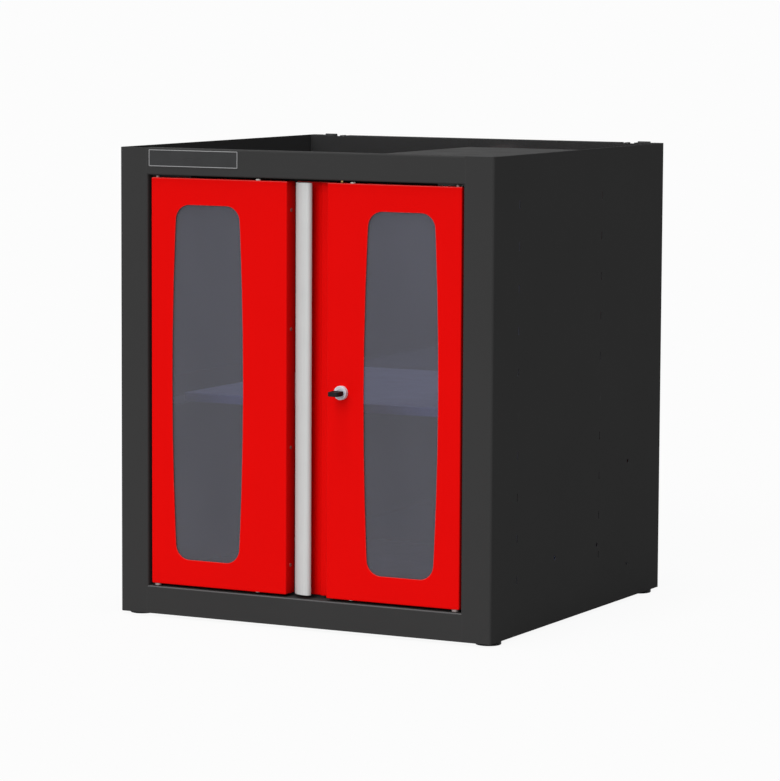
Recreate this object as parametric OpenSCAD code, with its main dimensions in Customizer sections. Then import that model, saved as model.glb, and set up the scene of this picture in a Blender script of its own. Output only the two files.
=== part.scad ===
// Workshop base cabinet with two windowed doors, a full-height handle and a key lock.
// Millimetres. X runs to the right, Y to the back, Z up. The origin is on the ground,
// under the middle of the cabinet and its key.

/* [Carcass] */
// Outer width of the carcass
body_w = 725; // [655:1:800]
// Outer depth of the carcass
body_d = 708; // [640:1:760]
// Height of the carcass above its feet
body_h = 818; // [740:1:900]
// Thickness of the carcass sheet
sheet = 1.5; // [1:0.1:2]
// Outer bend radius of the corner posts
bend_r = 5; // [3:0.5:8]
// Radius of the posts' inner front edges
edge_r = 3; // [2.5:0.1:4]
// Width of each front post
post_w = 56; // [50:1:60]
// Depth of the return behind each post
post_return = 18; // [10:1:18]
// Height of the top front rail
top_rail_h = 47; // [40:1:60]
// Height of the bottom front rail
bottom_rail_h = 49; // [45:1:60]
// Depth of the rails' flat returns
rail_return = 48; // [46:1:60]
// Height of the stiffening leg behind each rail return
rail_leg = 20; // [12:1:28]
// Depth of the top flange on the front rail
top_flange = 20; // [20:1:40]
// Inset of the back panel from the rear edge
back_inset = 20; // [14:1:40]
// Width of the side panels' rear flanges
rear_flange = 18; // [10:1:30]
// Drop of the rear rail's outer leg
rear_rail_drop = 40; // [25:1:60]
// Drop of the floor panel's edge flanges
floor_flange = 30; // [15:1:38]
// Width of the side panels' foot flanges
foot_flange = 46; // [44:1:50]

/* [Rear rail tabs] */
// Inset of each worktop tab from the side of the carcass
tab_inset = 38; // [30:1:60]
// Length of each worktop tab
tab_l = 25; // [20:1:30]
// Height of the tabs above the rim
tab_rise = 2; // [1:0.5:4]
// Width of the notch beside each tab
notch_w = 15; // [10:0.5:20]
// Width of the finger between that notch and the next
notch_finger = 4.5; // [3:0.5:8]
// Width of the next notch
second_notch_w = 8.5; // [6:0.5:12]
// Depth of the notches below the rim
notch_depth = 3; // [1:0.5:8]

/* [Corner plate] */
// Width of the worktop support plate in the right front corner
plate_w = 216; // [150:1:280]
// Length of the plate from front to back
plate_l = 325; // [200:1:400]
// Thickness of the plate
plate_t = 2; // [1.5:0.1:3]
// Drop of the plate's edge flanges
plate_flange = 25; // [15:1:40]

/* [Side panel slits and holes] */
// Height of the lowest slit's middle above the carcass underside
slit_base = 95.5; // [80:0.5:110]
// Distance of the highest slit's middle below the rim
slit_top = 83.5; // [75:0.5:120]
// Number of slits in a column
slit_count = 10; // [6:1:10]
// Width of a slit
slit_w = 3; // [2:0.1:4]
// Height of a slit
slit_h = 14; // [10:0.5:20]
// Distance of the front column behind the carcass front
slit_front = 102; // [60:1:140]
// Distance of the rear column behind the carcass front
slit_rear = 438; // [380:1:520]
// Diameter of the joining holes in the right side panel
link_hole_d = 7.5; // [5:0.1:9]
// Height of the low pair of joining holes
link_low_z = 114; // [104:1:150]
// Distance of the low pair's front hole behind the carcass front
link_low_y = 254; // [200:1:280]
// Distance between the two holes of the low pair
link_low_gap = 177; // [120:1:180]
// Distance of the rear pair of joining holes behind the carcass front
link_rear_y = 563; // [520:1:600]
// Height of the rear pair's lower hole
link_rear_z = 63; // [58:1:70]
// Distance between the two holes of the rear pair
link_rear_gap = 187; // [150:1:220]

/* [Worktop holes] */
// Diameter of the worktop holes in the front and rear rails
worktop_hole_d = 6.5; // [4:0.1:8]
// Distance of the worktop holes from the middle of the cabinet
worktop_hole_x = 120; // [80:1:130]

/* [Feet] */
// Diameter of the feet
foot_d = 44; // [36:1:44]
// Height of the feet
foot_h = 6; // [5:0.5:12]
// Inset of the feet from the carcass sides
foot_in_x = 22; // [22:0.5:26]
// Inset of the feet from the carcass front and back
foot_in_y = 38; // [30:1:60]
// Chamfer around the feet
foot_chamfer = 1.5; // [0.5:0.1:3]

/* [Doors] */
// Gap between a door's hinge edge and its post
side_gap = 5; // [4.5:0.5:7]
// Gap between a door's ends and the rails
end_gap = 4.5; // [4:0.5:7]
// Setback of the door faces behind the carcass front
door_recess = 4; // [2:0.5:8]
// Thickness of the doors
door_t = 31; // [30:0.5:34]
// Thickness of the door skins
skin = 1.5; // [1:0.1:2]
// Thickness of the door liners
liner_t = 1.2; // [0.8:0.1:1.6]
// Depth of the liners' side flanges
liner_flange = 21; // [18:0.5:23]
// How much wider the left door is than the right door's raised panel
left_extra = 14.5; // [8:0.5:20]
// Gap between the two doors
meeting_gap = 5.5; // [4:0.5:8]
// Width of the finger channel beside the raised panel
channel_w = 73; // [68:0.5:80]
// Depth of the finger channel beside the raised panel
channel_depth = 20; // [15:0.5:21]
// Extra depth of the channel behind the handle
channel_step = 5; // [1:0.5:6]
// Width of the shallow part of the channel
channel_ledge = 22; // [10:0.5:25]

/* [Windows] */
// Distance of a window's side from the door's hinge edge
window_side = 42; // [38:0.5:50]
// Distance of a window's side from the raised panel's free edge
window_lock_side = 71; // [69:0.5:90]
// Distance of a window's ends from the door's ends
window_end = 46; // [40:0.5:100]
// How far each window side bulges from its ends to the middle
window_bulge = 8.5; // [4:0.5:15]
// Corner radius of the windows
window_corner = 25; // [10:1:40]
// Thickness of the panes
pane_t = 3; // [2:0.5:5]
// Overlap of the panes behind the skins
pane_lap = 14; // [10:0.5:16]
// Thickness of the foam gaskets
gasket_t = 1; // [0.5:0.1:2]
// Setback of the gaskets from the window edges
gasket_back = 3; // [1:0.5:6]
// Clearance of the liner cut-outs around the windows
liner_clear = 18; // [16:0.5:20]

/* [Hinge pivots] */
// Distance of the pivot from the door's hinge edge
pivot_in = 10; // [9:0.5:12]
// Distance of the pivot behind the door's face
pivot_back = 6; // [5.5:0.5:8]
// Diameter of the pivot pins
pivot_d = 6; // [5:0.5:6.5]
// Length of a pin inside its block
pivot_hold = 20; // [12:1:28]
// How far a pin stands out of the door
pivot_out = 9; // [8.5:0.5:12]
// Running clearance around a pin
pivot_fit = 0.05; // [0.02:0.01:0.1]
// Diameter of the bushes in the rails
bush_d = 10; // [9:0.5:12]
// Diameter of the bush flanges
bush_flange_d = 14; // [13:0.5:18]
// Thickness of the bush flanges
bush_flange_t = 1; // [0.6:0.1:1.5]
// How far a bush stands past the rail's sheet
bush_past = 2; // [1:0.5:4]
// Diameter of the collar that carries the door
collar_d = 12; // [10:0.5:14]
// Gap between a collar and its bush
collar_gap = 0.1; // [0.05:0.05:0.3]
// Width of the pivot blocks
block_w = 17; // [15:0.5:20]

/* [Door stops and buffers] */
// Gap between the closed doors and their stops
stop_gap = 0.5; // [0.3:0.1:1]
// Depth of the stop angles on the rails
stop_foot = 8; // [5:0.5:8.5]
// How far the stops reach behind the doors
stop_reach = 12; // [8:0.5:20]
// Length of the stop angles
stop_l = 480; // [300:5:500]
// Distance of the buffers from the middle of the cabinet
buffer_x = 92; // [90:1:150]
// Distance of the buffers behind the door's face
buffer_back = 8; // [7:0.5:10]
// Diameter of the buffer heads
buffer_d = 9; // [6:0.5:10]
// Height of the buffer heads
buffer_rise = 2.5; // [1:0.5:3]
// Diameter of the buffer stems
buffer_stem_d = 5; // [3:0.5:5.5]
// Length of the buffer stems
buffer_stem = 6; // [4:0.5:12]

/* [Rivets] */
// Distance of the outermost rivets from the door's ends
rivet_end = 49.75; // [35:0.25:120]
// Number of rivets in a row
rivet_count = 4; // [2:1:4]
// Distance of the rivets behind the door's face
rivet_back = 16; // [14:0.5:22]
// Diameter of the rivet shanks
rivet_d = 3.2; // [2.4:0.1:4]
// Diameter of the rivet heads
rivet_head_d = 6.5; // [5:0.1:8]
// Height of the rivet heads
rivet_rise = 1; // [0.6:0.1:1.5]

/* [Handle] */
// Inset of the handle from the edge of the right door
handle_in = 4; // [2:0.5:6]
// How far the blade sweeps sideways
blade_reach = 32.5; // [28:0.5:36]
// How far the blade sweeps forwards
blade_rise = 14.6; // [11:0.1:16]
// Thickness of the blade
blade_t = 2.5; // [1.5:0.1:3]
// Outer radius of the blade's nose
nose_r = 5.5; // [4:0.5:7]
// Setback of the blade behind the door's face
blade_back = 0.4; // [0.2:0.1:2]
// Width of the handle's foot
handle_foot = 22; // [16:0.5:26]
// Gap between the handle's ends and the door's ends
handle_end_gap = 1.5; // [0.5:0.5:6]
// Number of screws that hold the handle
handle_screws_n = 4; // [2:1:8]
// Diameter of the handle screws
handle_screw_d = 4; // [3:0.5:5]
// Diameter of the handle screw heads
handle_screw_head_d = 8; // [6:0.5:9]
// Height of the handle screw heads
handle_screw_head_h = 2.4; // [1.5:0.1:3]

/* [Lock] */
// Distance of the lock from the edge of the raised panel
lock_in = 29.5; // [26:0.5:31]
// Diameter of the lock's face ring
ring_d = 24; // [21:0.5:28]
// Height of the face ring above the door
ring_h = 8; // [2:0.5:9]
// Diameter of the lock housing
housing_d = 18; // [16:0.5:19]
// Length of the lock housing behind the door's face
housing_l = 18; // [16:0.5:19]
// Diameter of the lock barrel
barrel_d = 12; // [11:0.5:13]
// Running clearance around the barrel
barrel_fit = 0.05; // [0.02:0.01:0.1]
// Setback of the barrel in the ring
barrel_back = 1; // [0.5:0.1:2]
// Width of the lock nut across its flats
nut_af = 24; // [22:0.5:26]
// Thickness of the lock nut
nut_t = 4; // [3:0.5:6]
// Side of the barrel's square tail
tail_side = 7; // [6:0.1:7.5]
// Thickness of the cam
cam_t = 2.5; // [2:0.1:3]
// Gap between the housing and the cam
cam_gap = 0.3; // [0.2:0.1:0.6]
// Distance of the cam pins from the lock axis
cam_r = 12; // [11:0.5:12.5]
// Width of the cam's arms between its round ends
cam_arm_w = 9; // [8:0.5:9.5]
// Diameter of the cam pins
cam_pin_d = 5; // [4:0.5:5]
// Diameter of the cam screw
cam_screw_d = 4; // [3:0.5:4]
// Diameter of the cam screw's head
cam_screw_head_d = 7; // [6:0.5:7.5]

/* [Key] */
// How far the key stands out from the door's face
key_reach = 35; // [30:1:45]
// Width of the key blade
blade_key_w = 8; // [6:0.5:9]
// Thickness of the key blade
blade_key_t = 2.2; // [1.5:0.1:3]
// Depth of the key blade behind the door's face
key_depth = 12; // [8:0.5:12]
// Clearance around the key in its slot
key_fit = 0.15; // [0.1:0.05:0.3]
// Width of the key bow
bow_w = 20; // [16:0.5:28]
// Length of the key bow
bow_l = 25; // [18:0.5:28]
// Thickness of the key bow
bow_t = 8; // [5:0.5:10]
// Corner radius of the key bow
bow_r = 5; // [2:0.5:8]

/* [Lock rods] */
// Diameter of the lock rods
rod_d = 6; // [5:0.5:6.5]
// How far the rods stand out of the door when drawn in
rod_out = 3; // [1:0.5:3.5]
// Clearance of a cam pin in its rod slot
slot_fit = 0.7; // [0.6:0.1:1]
// Thickness of the flat rod ends
rod_flat_t = 2; // [1.5:0.1:2.5]
// Gap between the cam and the flat rod ends
rod_gap = 0.3; // [0.2:0.1:0.5]
// Length of the flat rod ends past the lock axis
rod_flat_l = 22; // [21:0.5:30]
// Running clearance of the rods in their guides
guide_fit = 0.1; // [0.05:0.01:0.1]
// Width of the rod guides
guide_w = 16; // [12:0.5:18]
// Length of the rod guides
guide_l = 14; // [8:0.5:20]
// Distance of the guides from the lock axis
guide_at = 200; // [100:1:280]
// Clearance of the rods and pins in the door and rail holes
hole_clear = 0.5; // [0.3:0.1:0.8]

/* [Shelf] */
// Slit that the shelf hangs from, counted from the lowest as 0
shelf_slit_n = 4; // [1:1:7]
// Gap between the shelf and the opening at each side
shelf_side_gap = 1.5; // [1:0.5:8]
// Setback of the shelf behind the carcass front
shelf_front = 122; // [100:1:200]
// Gap between the shelf and the back panel
shelf_rear_gap = 2; // [1:0.5:10]
// Height of the shelf's lips
shelf_lip = 16; // [12:0.5:20]
// Thickness of the shelf sheet
shelf_t = 1.2; // [1:0.1:2]
// Thickness of the shelf rails
ledge_t = 1.5; // [1.2:0.1:2]
// Width of the rails' ledges
ledge_w = 72; // [66:1:90]
// Height of the rails' webs
ledge_web = 41; // [32:1:50]
// Length of the shelf rails
ledge_l = 520; // [400:1:560]
// How far the rails start in front of the front slits
ledge_lead = 16; // [8:1:30]
// Clearance of the rail tabs in the slits
tab_fit = 0.3; // [0.2:0.1:0.5]

/* [Label plate] */
// Width of the blank label plate
label_w = 177; // [120:1:200]
// Height of the blank label plate
label_h = 29; // [18:1:32]
// Thickness of the blank label plate
label_t = 0.8; // [0.5:0.1:1.5]
// Distance of the label plate from the left post
label_in = 3; // [1:0.5:20]
// Distance of the label plate below the rim
label_drop = 3; // [2:0.5:6]

/* [Foot fasteners] */
// Diameter of the foot screws
foot_screw_d = 6; // [5:0.5:7]
// Diameter of the foot screw heads
foot_head_d = 11; // [10:0.5:13]
// Height of the foot screw heads
foot_head_h = 2.6; // [2:0.1:3]
// Clearance around the foot screws
foot_screw_fit = 0.2; // [0.1:0.05:0.4]
// Width of the foot nuts across their flats
foot_nut_af = 10; // [10:0.5:13]
// Thickness of the foot nuts
foot_nut_t = 5; // [3:0.5:7]

/* [Hidden] */
LEFT = -1;
RIGHT = 1;
TOP = 1;
BOTTOM = -1;
$fn = 48;

// Steps in each bend of a folded sheet
bend_steps = 8;
// Steps in a full circle of the windows' shallow side arcs
window_arc_fn = 720;
// How far a cutting shape runs past the face that it cuts
past = 1;

// Sheet steel, door paint, metals and plastics
carcass_grey = "#303234";
door_red = "#d8140f";
liner_red = "#a8120e";
zinc = "#b9bcc0";
alu = "#c8cacc";
nylon_white = "#ecece6";
brass_yellow = "#c9a24a";
black = "#1a1a1b";

// Carcass planes
side_out = body_w / 2;
side_in = side_out - sheet;
post_x = side_out - post_w;
open_low = bottom_rail_h;
open_high = body_h - top_rail_h;
back_y = body_d - back_inset;
rear_leg_y = body_d - 2 * sheet;

// The key stands out in front, so it counts in the depth that the origin halves
key_out = key_reach - door_recess;
front_y = -(body_d - key_out) / 2;

// Heights between the slits
slit_pitch = (body_h - slit_base - slit_top) / (slit_count - 1);

// Door planes
door_edge = post_x - side_gap;
door_low = open_low + end_gap;
door_high = open_high - end_gap;
door_h = door_high - door_low;
door_mid = (door_low + door_high) / 2;
door_back = door_recess + door_t;
skin_in = door_recess + skin;
liner_front = door_back - liner_t;
panel_w = (2 * door_edge - meeting_gap - channel_w - left_extra) / 2;
left_door_w = panel_w + left_extra;
left_edge = left_door_w - door_edge;
right_edge = left_edge + meeting_gap;
panel_edge = door_edge - panel_w;
step_x = panel_edge - channel_ledge;
ledge_y = door_recess + channel_depth;
floor_y = ledge_y + channel_step;

// Windows and the arcs of their sides
window_w = panel_w - window_side - window_lock_side;
window_h = door_h - 2 * window_end;
window_x = door_edge - window_side - window_w / 2;
window_arc_r = (pow(window_h / 2, 2) + pow(window_bulge, 2)) / (2 * window_bulge);
pane_front = skin_in + gasket_t;

// Pivots
pivot_x = door_edge - pivot_in;
pivot_y = door_recess + pivot_back;
bush_l = bush_flange_t + sheet + bush_past;

// Rivets
rivet_pitch = (door_h - 2 * rivet_end) / (rivet_count - 1);

// Lock, cam and rods
lock_x = panel_edge + lock_in;
ring_front = door_recess - ring_h;
housing_rear = door_recess + housing_l;
cam_front = housing_rear + cam_gap;
cam_rear = cam_front + cam_t;
rod_flat_y = cam_rear + rod_gap;
rod_y = rod_flat_y + rod_flat_t / 2;
cam_pin_at = cam_r * sin(45);
slot_half = cam_pin_d / 2 + slot_fit;
slot_wall = 3;
cam_screw_head_h = rod_gap + rod_flat_t;
cam_screw_l = 6;

// Shelf and its rails
shelf_w = 2 * (post_x - shelf_side_gap);
shelf_slit_z = slit_base + shelf_slit_n * slit_pitch;
shelf_top = shelf_slit_z;
shelf_low = shelf_top - shelf_lip;

// Moves a shape from the carcass front and underside to the ground frame
module place() {
    translate([0, front_y, foot_h]) children();
}

// Mirrors a right-hand shape for the left side
module handed(side) {
    if (side == LEFT) mirror([1, 0, 0]) children();
    else children();
}

// Mirrors an upper shape about the doors' mid height for the lower end
module ended(end) {
    if (end == BOTTOM) translate([0, 0, 2 * door_mid]) mirror([0, 0, 1]) children();
    else children();
}

// Box from its low corner to its high corner
module slab(low, high) {
    translate(low) cube(high - low);
}

// Cylinder along Y from one depth to another
module rod_along_y(x, z, r, from, to) {
    translate([x, from, z]) rotate([-90, 0, 0]) cylinder(r = r, h = to - from);
}

// Cylinder along X from one place to another
module rod_along_x(y, z, r, from, to) {
    translate([from, y, z]) rotate([0, 90, 0]) cylinder(r = r, h = to - from);
}

// Points along an arc
function arc(centre, r, from, to, steps) = [
    for (i = [0 : steps])
        let (a = from + (to - from) * i / steps)
            centre + r * [cos(a), sin(a)]
];

// Heights of the slits in a column
function slit_levels() = [for (i = [0 : slit_count - 1]) slit_base + i * slit_pitch];

// Evenly spaced places about a middle
function row(middle, pitch, count) = [
    for (i = [0 : count - 1]) middle + (i - (count - 1) / 2) * pitch
];

// Plan of a right-hand side panel: outer wall, front post and its return
module side_section() {
    polygon(concat(
        [[side_out, body_d]],
        arc([side_out - bend_r, bend_r], bend_r, 0, -90, bend_steps),
        arc([post_x + edge_r, edge_r], edge_r, -90, -180, bend_steps),
        [[post_x, post_return], [post_x + sheet, post_return]],
        arc([post_x + edge_r, edge_r], edge_r - sheet, -180, -90, bend_steps),
        arc([side_out - bend_r, bend_r], bend_r - sheet, -90, 0, bend_steps),
        [[side_in, body_d]]
    ));
}

// Hole through a right-hand side wall
module link_hole(y, z) {
    rod_along_x(y, z, link_hole_d / 2, side_in - past, side_out + past);
}

// Folded right-hand side panel with its slits and foot holes
module side_panel() {
    difference() {
        union() {
            linear_extrude(body_h) side_section();
            slab([side_in - foot_flange, sheet, 0], [side_in + sheet / 2, body_d - sheet, sheet]);
            slab([side_in - rear_flange, body_d - sheet, 0], [side_out, body_d, body_h]);
        }
        for (y = [slit_front, slit_rear], z = slit_levels())
            slab([side_in - past, y - slit_w / 2, z - slit_h / 2],
                 [side_out + past, y + slit_w / 2, z + slit_h / 2]);
        for (y = [foot_in_y, body_d - foot_in_y])
            translate([side_out - foot_in_x, y, -past])
                cylinder(r = foot_screw_d / 2 + foot_screw_fit, h = sheet + 2 * past);
    }
}

module left_side_panel() {
    color(carcass_grey) place() handed(LEFT) side_panel();
}

// The right panel also has the holes that join it to a neighbouring cabinet
module right_side_panel() {
    color(carcass_grey) place() handed(RIGHT) difference() {
        side_panel();
        for (y = [0, link_low_gap])
            link_hole(link_low_y + y, link_low_z);
        for (z = [0, link_rear_gap])
            link_hole(link_rear_y, link_rear_z + z);
    }
}

// Rear wall, folded back along its sides and foot
module back_panel() {
    color(carcass_grey) place() difference() {
        slab([-side_in, back_y, sheet], [side_in, rear_leg_y, body_h - sheet]);
        slab([-side_in + sheet, back_y + sheet, 2 * sheet], [side_in - sheet, body_d, body_h]);
    }
}

// Floor tray, folded down all round, with ears that fill the corners behind the posts
module floor_panel() {
    color(carcass_grey) place() {
        difference() {
            slab([-side_in, rail_return, open_low - floor_flange], [side_in, back_y, open_low]);
            slab([-side_in + sheet, rail_return + sheet, open_low - floor_flange - past],
                 [side_in - sheet, back_y - sheet, open_low - sheet]);
        }
        for (side = [LEFT, RIGHT]) handed(side)
            slab([post_x, post_return, open_low - sheet], [side_in, rail_return, open_low]);
    }
}

// Holes in a rail for the pivot bushes and the upper or lower lock rod
module rail_holes(z, rod_side) {
    for (side = [LEFT, RIGHT]) handed(side)
        translate([pivot_x, pivot_y, z - sheet - past])
            cylinder(r = bush_d / 2, h = 2 * sheet + 2 * past);
    translate([lock_x + rod_side * cam_r, rod_y, z - sheet - past])
        cylinder(r = rod_d / 2 + hole_clear, h = 2 * sheet + 2 * past);
}

// Section of a front rail: its face, flat return and stiffening leg, with depth as X and height as Y
module rail_section(height) {
    square([sheet, height]);
    square([rail_return, sheet]);
    translate([rail_return - sheet, 0]) square([sheet, rail_leg]);
}

// Runs a rail section from post to post
module between_posts() {
    translate([-post_x, 0, 0]) rotate([90, 0, 90]) linear_extrude(2 * post_x) children();
}

module top_front_rail() {
    color(carcass_grey) place() difference() {
        translate([0, 0, open_high]) between_posts() {
            rail_section(top_rail_h);
            translate([0, top_rail_h - sheet]) square([top_flange, sheet]);
        }
        rail_holes(open_high, -1);
        for (side = [LEFT, RIGHT])
            translate([side * worktop_hole_x, top_flange / 2 + sheet / 2, body_h - sheet - past])
                cylinder(r = worktop_hole_d / 2, h = sheet + 2 * past);
    }
}

module bottom_front_rail() {
    color(carcass_grey) place() difference() {
        translate([0, 0, open_low]) mirror([0, 0, 1]) between_posts() rail_section(bottom_rail_h);
        rail_holes(open_low, 1);
    }
}

// Rail over the back panel, with a tab and two notches near each end of its outer leg
module top_rear_rail() {
    tab_out = side_out - tab_inset + tab_l / 2;
    tab_in = tab_out - tab_l;
    finger_out = tab_in - notch_w;
    finger_in = finger_out - notch_finger;
    color(carcass_grey) place() difference() {
        union() {
            slab([-side_in, back_y, body_h - sheet], [side_in, body_d - sheet, body_h]);
            slab([-side_in, rear_leg_y, body_h - rear_rail_drop], [side_in, body_d - sheet, body_h]);
            for (side = [LEFT, RIGHT]) handed(side)
                slab([tab_in, rear_leg_y, body_h - sheet], [tab_out, body_d - sheet, body_h + tab_rise]);
        }
        for (side = [LEFT, RIGHT], cut = [[finger_out, tab_in], [finger_in - second_notch_w, finger_in]])
            handed(side)
                slab([cut[0], rear_leg_y - past, body_h - notch_depth], [cut[1], body_d, body_h + past]);
        for (side = [LEFT, RIGHT])
            translate([side * worktop_hole_x, back_y + (back_inset - sheet) / 2, body_h - sheet - past])
                cylinder(r = worktop_hole_d / 2, h = sheet + 2 * past);
    }
}

// Worktop support in the right front corner: an upturned tray with an ear over the post
module corner_plate() {
    rim_fit = 0.3;
    left = side_in - plate_w;
    front = top_flange + rim_fit;
    rear = front + plate_l;
    color(carcass_grey) place() {
        difference() {
            slab([left, front, body_h - plate_flange], [side_in, rear, body_h]);
            slab([left + plate_t, front + plate_t, body_h - plate_flange - past],
                 [side_in - plate_t, rear - plate_t, body_h - plate_t]);
        }
        slab([post_x + sheet + rim_fit, bend_r, body_h - plate_t],
             [side_out - bend_r, front + plate_t, body_h]);
    }
}

// Angle behind the top or bottom of the doors
module door_stop(end) {
    face = door_back + stop_gap;
    ended(end) {
        slab([-stop_l / 2, face, door_high + end_gap - sheet - stop_reach],
             [stop_l / 2, face + sheet, door_high + end_gap]);
        slab([-stop_l / 2, face, door_high + end_gap - sheet],
             [stop_l / 2, face + stop_foot, door_high + end_gap]);
    }
}

module door_stops() {
    color(carcass_grey) place() for (end = [TOP, BOTTOM]) door_stop(end);
}

// Shelf carrier: a web on the side panel, a ledge under the shelf and tabs in the slits
module shelf_rail() {
    front = slit_front - ledge_lead;
    tab_t = slit_w - 2 * tab_fit;
    tab_h = slit_h - 2 * tab_fit;
    rear = front + ledge_l;
    foot = shelf_low - ledge_t;
    slab([side_in - ledge_t, front, foot], [side_in, rear, foot + ledge_web]);
    slab([side_in - ledge_w, front, foot], [side_in, rear, shelf_low]);
    for (y = [slit_front, slit_rear])
        slab([side_in - ledge_t, y - tab_t / 2, shelf_slit_z - tab_h / 2],
             [side_out - tab_fit, y + tab_t / 2, shelf_slit_z + tab_h / 2]);
}

module left_shelf_rail() {
    color(carcass_grey) place() handed(LEFT) shelf_rail();
}

module right_shelf_rail() {
    color(carcass_grey) place() handed(RIGHT) shelf_rail();
}

// Shelf: an upturned tray that rests on the two ledges
module shelf() {
    color(carcass_grey) place() difference() {
        slab([-shelf_w / 2, shelf_front, shelf_low], [shelf_w / 2, back_y - shelf_rear_gap, shelf_top]);
        slab([-shelf_w / 2 + shelf_t, shelf_front + shelf_t, shelf_low - past],
             [shelf_w / 2 - shelf_t, back_y - shelf_rear_gap - shelf_t, shelf_top - shelf_t]);
    }
}

// Repeats a shape at the four feet, whose tops are at the carcass underside
module at_feet() {
    for (side = [LEFT, RIGHT], y = [foot_in_y, body_d - foot_in_y])
        translate([side * (side_out - foot_in_x), y, 0]) children();
}

module feet() {
    r = foot_d / 2;
    hole_r = foot_screw_d / 2 + foot_screw_fit;
    sink_r = foot_head_d / 2 + foot_screw_fit;
    sink = foot_head_h + foot_screw_fit;
    color(black) place() at_feet() rotate_extrude() polygon([
        [sink_r, -foot_h], [r - foot_chamfer, -foot_h], [r, foot_chamfer - foot_h],
        [r, 0], [hole_r, 0], [hole_r, sink - foot_h], [sink_r, sink - foot_h]
    ]);
}

module foot_screws() {
    sink = foot_head_h + foot_screw_fit;
    color(zinc) place() at_feet() {
        translate([0, 0, sink - foot_h - foot_head_h]) cylinder(r = foot_head_d / 2, h = foot_head_h);
        translate([0, 0, sink - foot_h - foot_head_h])
            cylinder(r = foot_screw_d / 2, h = foot_h + sheet + foot_nut_t - sink + foot_head_h + past);
    }
}

module foot_nuts() {
    color(zinc) place() at_feet() translate([0, 0, sheet]) difference() {
        cylinder(r = foot_nut_af / sqrt(3), h = foot_nut_t, $fn = 6);
        translate([0, 0, -past]) cylinder(r = foot_screw_d / 2, h = foot_nut_t + 2 * past);
    }
}

// Flanged bush in a rail, with its flange in the gap at the door's end
module pivot_bush(end) {
    bore_r = pivot_d / 2 + pivot_fit;
    ended(end) translate([pivot_x, pivot_y, door_high + end_gap - bush_flange_t]) difference() {
        union() {
            cylinder(r = bush_flange_d / 2, h = bush_flange_t);
            cylinder(r = bush_d / 2, h = bush_l);
        }
        translate([0, 0, -past]) cylinder(r = bore_r, h = bush_l + 2 * past);
    }
}

module pivot_bushes() {
    color(black) place() for (side = [LEFT, RIGHT], end = [TOP, BOTTOM]) handed(side) pivot_bush(end);
}

// Pins of one door; the lower one has a collar that carries the door on its bush
module pivot_pins(side) {
    collar_h = end_gap - bush_flange_t - collar_gap;
    color(zinc) place() handed(side) translate([pivot_x, pivot_y, 0]) {
        for (end = [TOP, BOTTOM]) ended(end)
            translate([0, 0, door_high - pivot_hold]) cylinder(r = pivot_d / 2, h = pivot_hold + pivot_out);
        translate([0, 0, door_low - collar_h]) cylinder(r = collar_d / 2, h = collar_h);
    }
}

module left_pivot_pins() {
    pivot_pins(LEFT);
}

module right_pivot_pins() {
    pivot_pins(RIGHT);
}

// Blocks inside one door that hold its pins
module pivot_blocks(side) {
    inner = door_edge - skin;
    color(zinc) place() handed(side) for (end = [TOP, BOTTOM]) ended(end) difference() {
        slab([inner - block_w, skin_in, door_high - skin - pivot_hold],
             [inner, skin_in + block_w, door_high - skin]);
        translate([pivot_x, pivot_y, door_high - skin - pivot_hold - past])
            cylinder(r = pivot_d / 2, h = pivot_hold + 2 * past);
    }
}

module left_pivot_blocks() {
    pivot_blocks(LEFT);
}

module right_pivot_blocks() {
    pivot_blocks(RIGHT);
}

// Nylon buttons on the top and bottom of one door
module door_buffers(side) {
    color(nylon_white) place() handed(side) for (end = [TOP, BOTTOM]) ended(end)
        translate([buffer_x, door_recess + buffer_back, door_high]) {
            cylinder(r = buffer_d / 2, h = buffer_rise);
            translate([0, 0, -buffer_stem]) cylinder(r = buffer_stem_d / 2, h = buffer_stem);
        }
}

module left_door_buffers() {
    door_buffers(LEFT);
}

module right_door_buffers() {
    door_buffers(RIGHT);
}

// Window outline about its own middle: bowed sides, straight ends and round corners
module window_outline() {
    offset(r = window_corner) offset(delta = -window_corner) intersection() {
        square([window_w, window_h], center = true);
        for (side = [LEFT, RIGHT])
            translate([side * (window_arc_r - window_w / 2), 0])
                circle(r = window_arc_r, $fn = window_arc_fn);
    }
}

// Stands a flat outline up at a right-hand window, from one depth to another
module at_window(from, to) {
    translate([window_x, to, door_mid]) rotate([90, 0, 0]) linear_extrude(to - from) children();
}

// Rectangle that reaches past the window by the same margin all round
module window_frame(margin) {
    square([window_w + 2 * margin, window_h + 2 * margin], center = true);
}

// Plan of the left door, as its mirror image
module plain_plan() {
    translate([-left_edge, door_recess]) square([left_door_w, door_t]);
}

module plain_hollow() {
    translate([skin - left_edge, skin_in]) square([left_door_w - 2 * skin, door_t]);
}

// Plan of the right door: raised panel, then the stepped finger channel
module channel_plan() {
    polygon([
        [door_edge, door_recess], [panel_edge, door_recess], [panel_edge, ledge_y], [step_x, ledge_y],
        [step_x, floor_y], [right_edge, floor_y], [right_edge, door_back], [door_edge, door_back]
    ]);
}

module channel_hollow() {
    rear = door_back + past;
    polygon([
        [door_edge - skin, skin_in], [panel_edge + skin, skin_in], [panel_edge + skin, ledge_y + skin],
        [step_x + skin, ledge_y + skin], [step_x + skin, floor_y + skin],
        [right_edge + skin, floor_y + skin], [right_edge + skin, rear], [door_edge - skin, rear]
    ]);
}

// Holes in a door's hinge wall for its rivets
module rivet_holes(face, depth) {
    for (z = row(door_mid, rivet_pitch, rivet_count))
        rod_along_x(door_recess + rivet_back, z, rivet_d / 2, face - depth, face + past);
}

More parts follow.
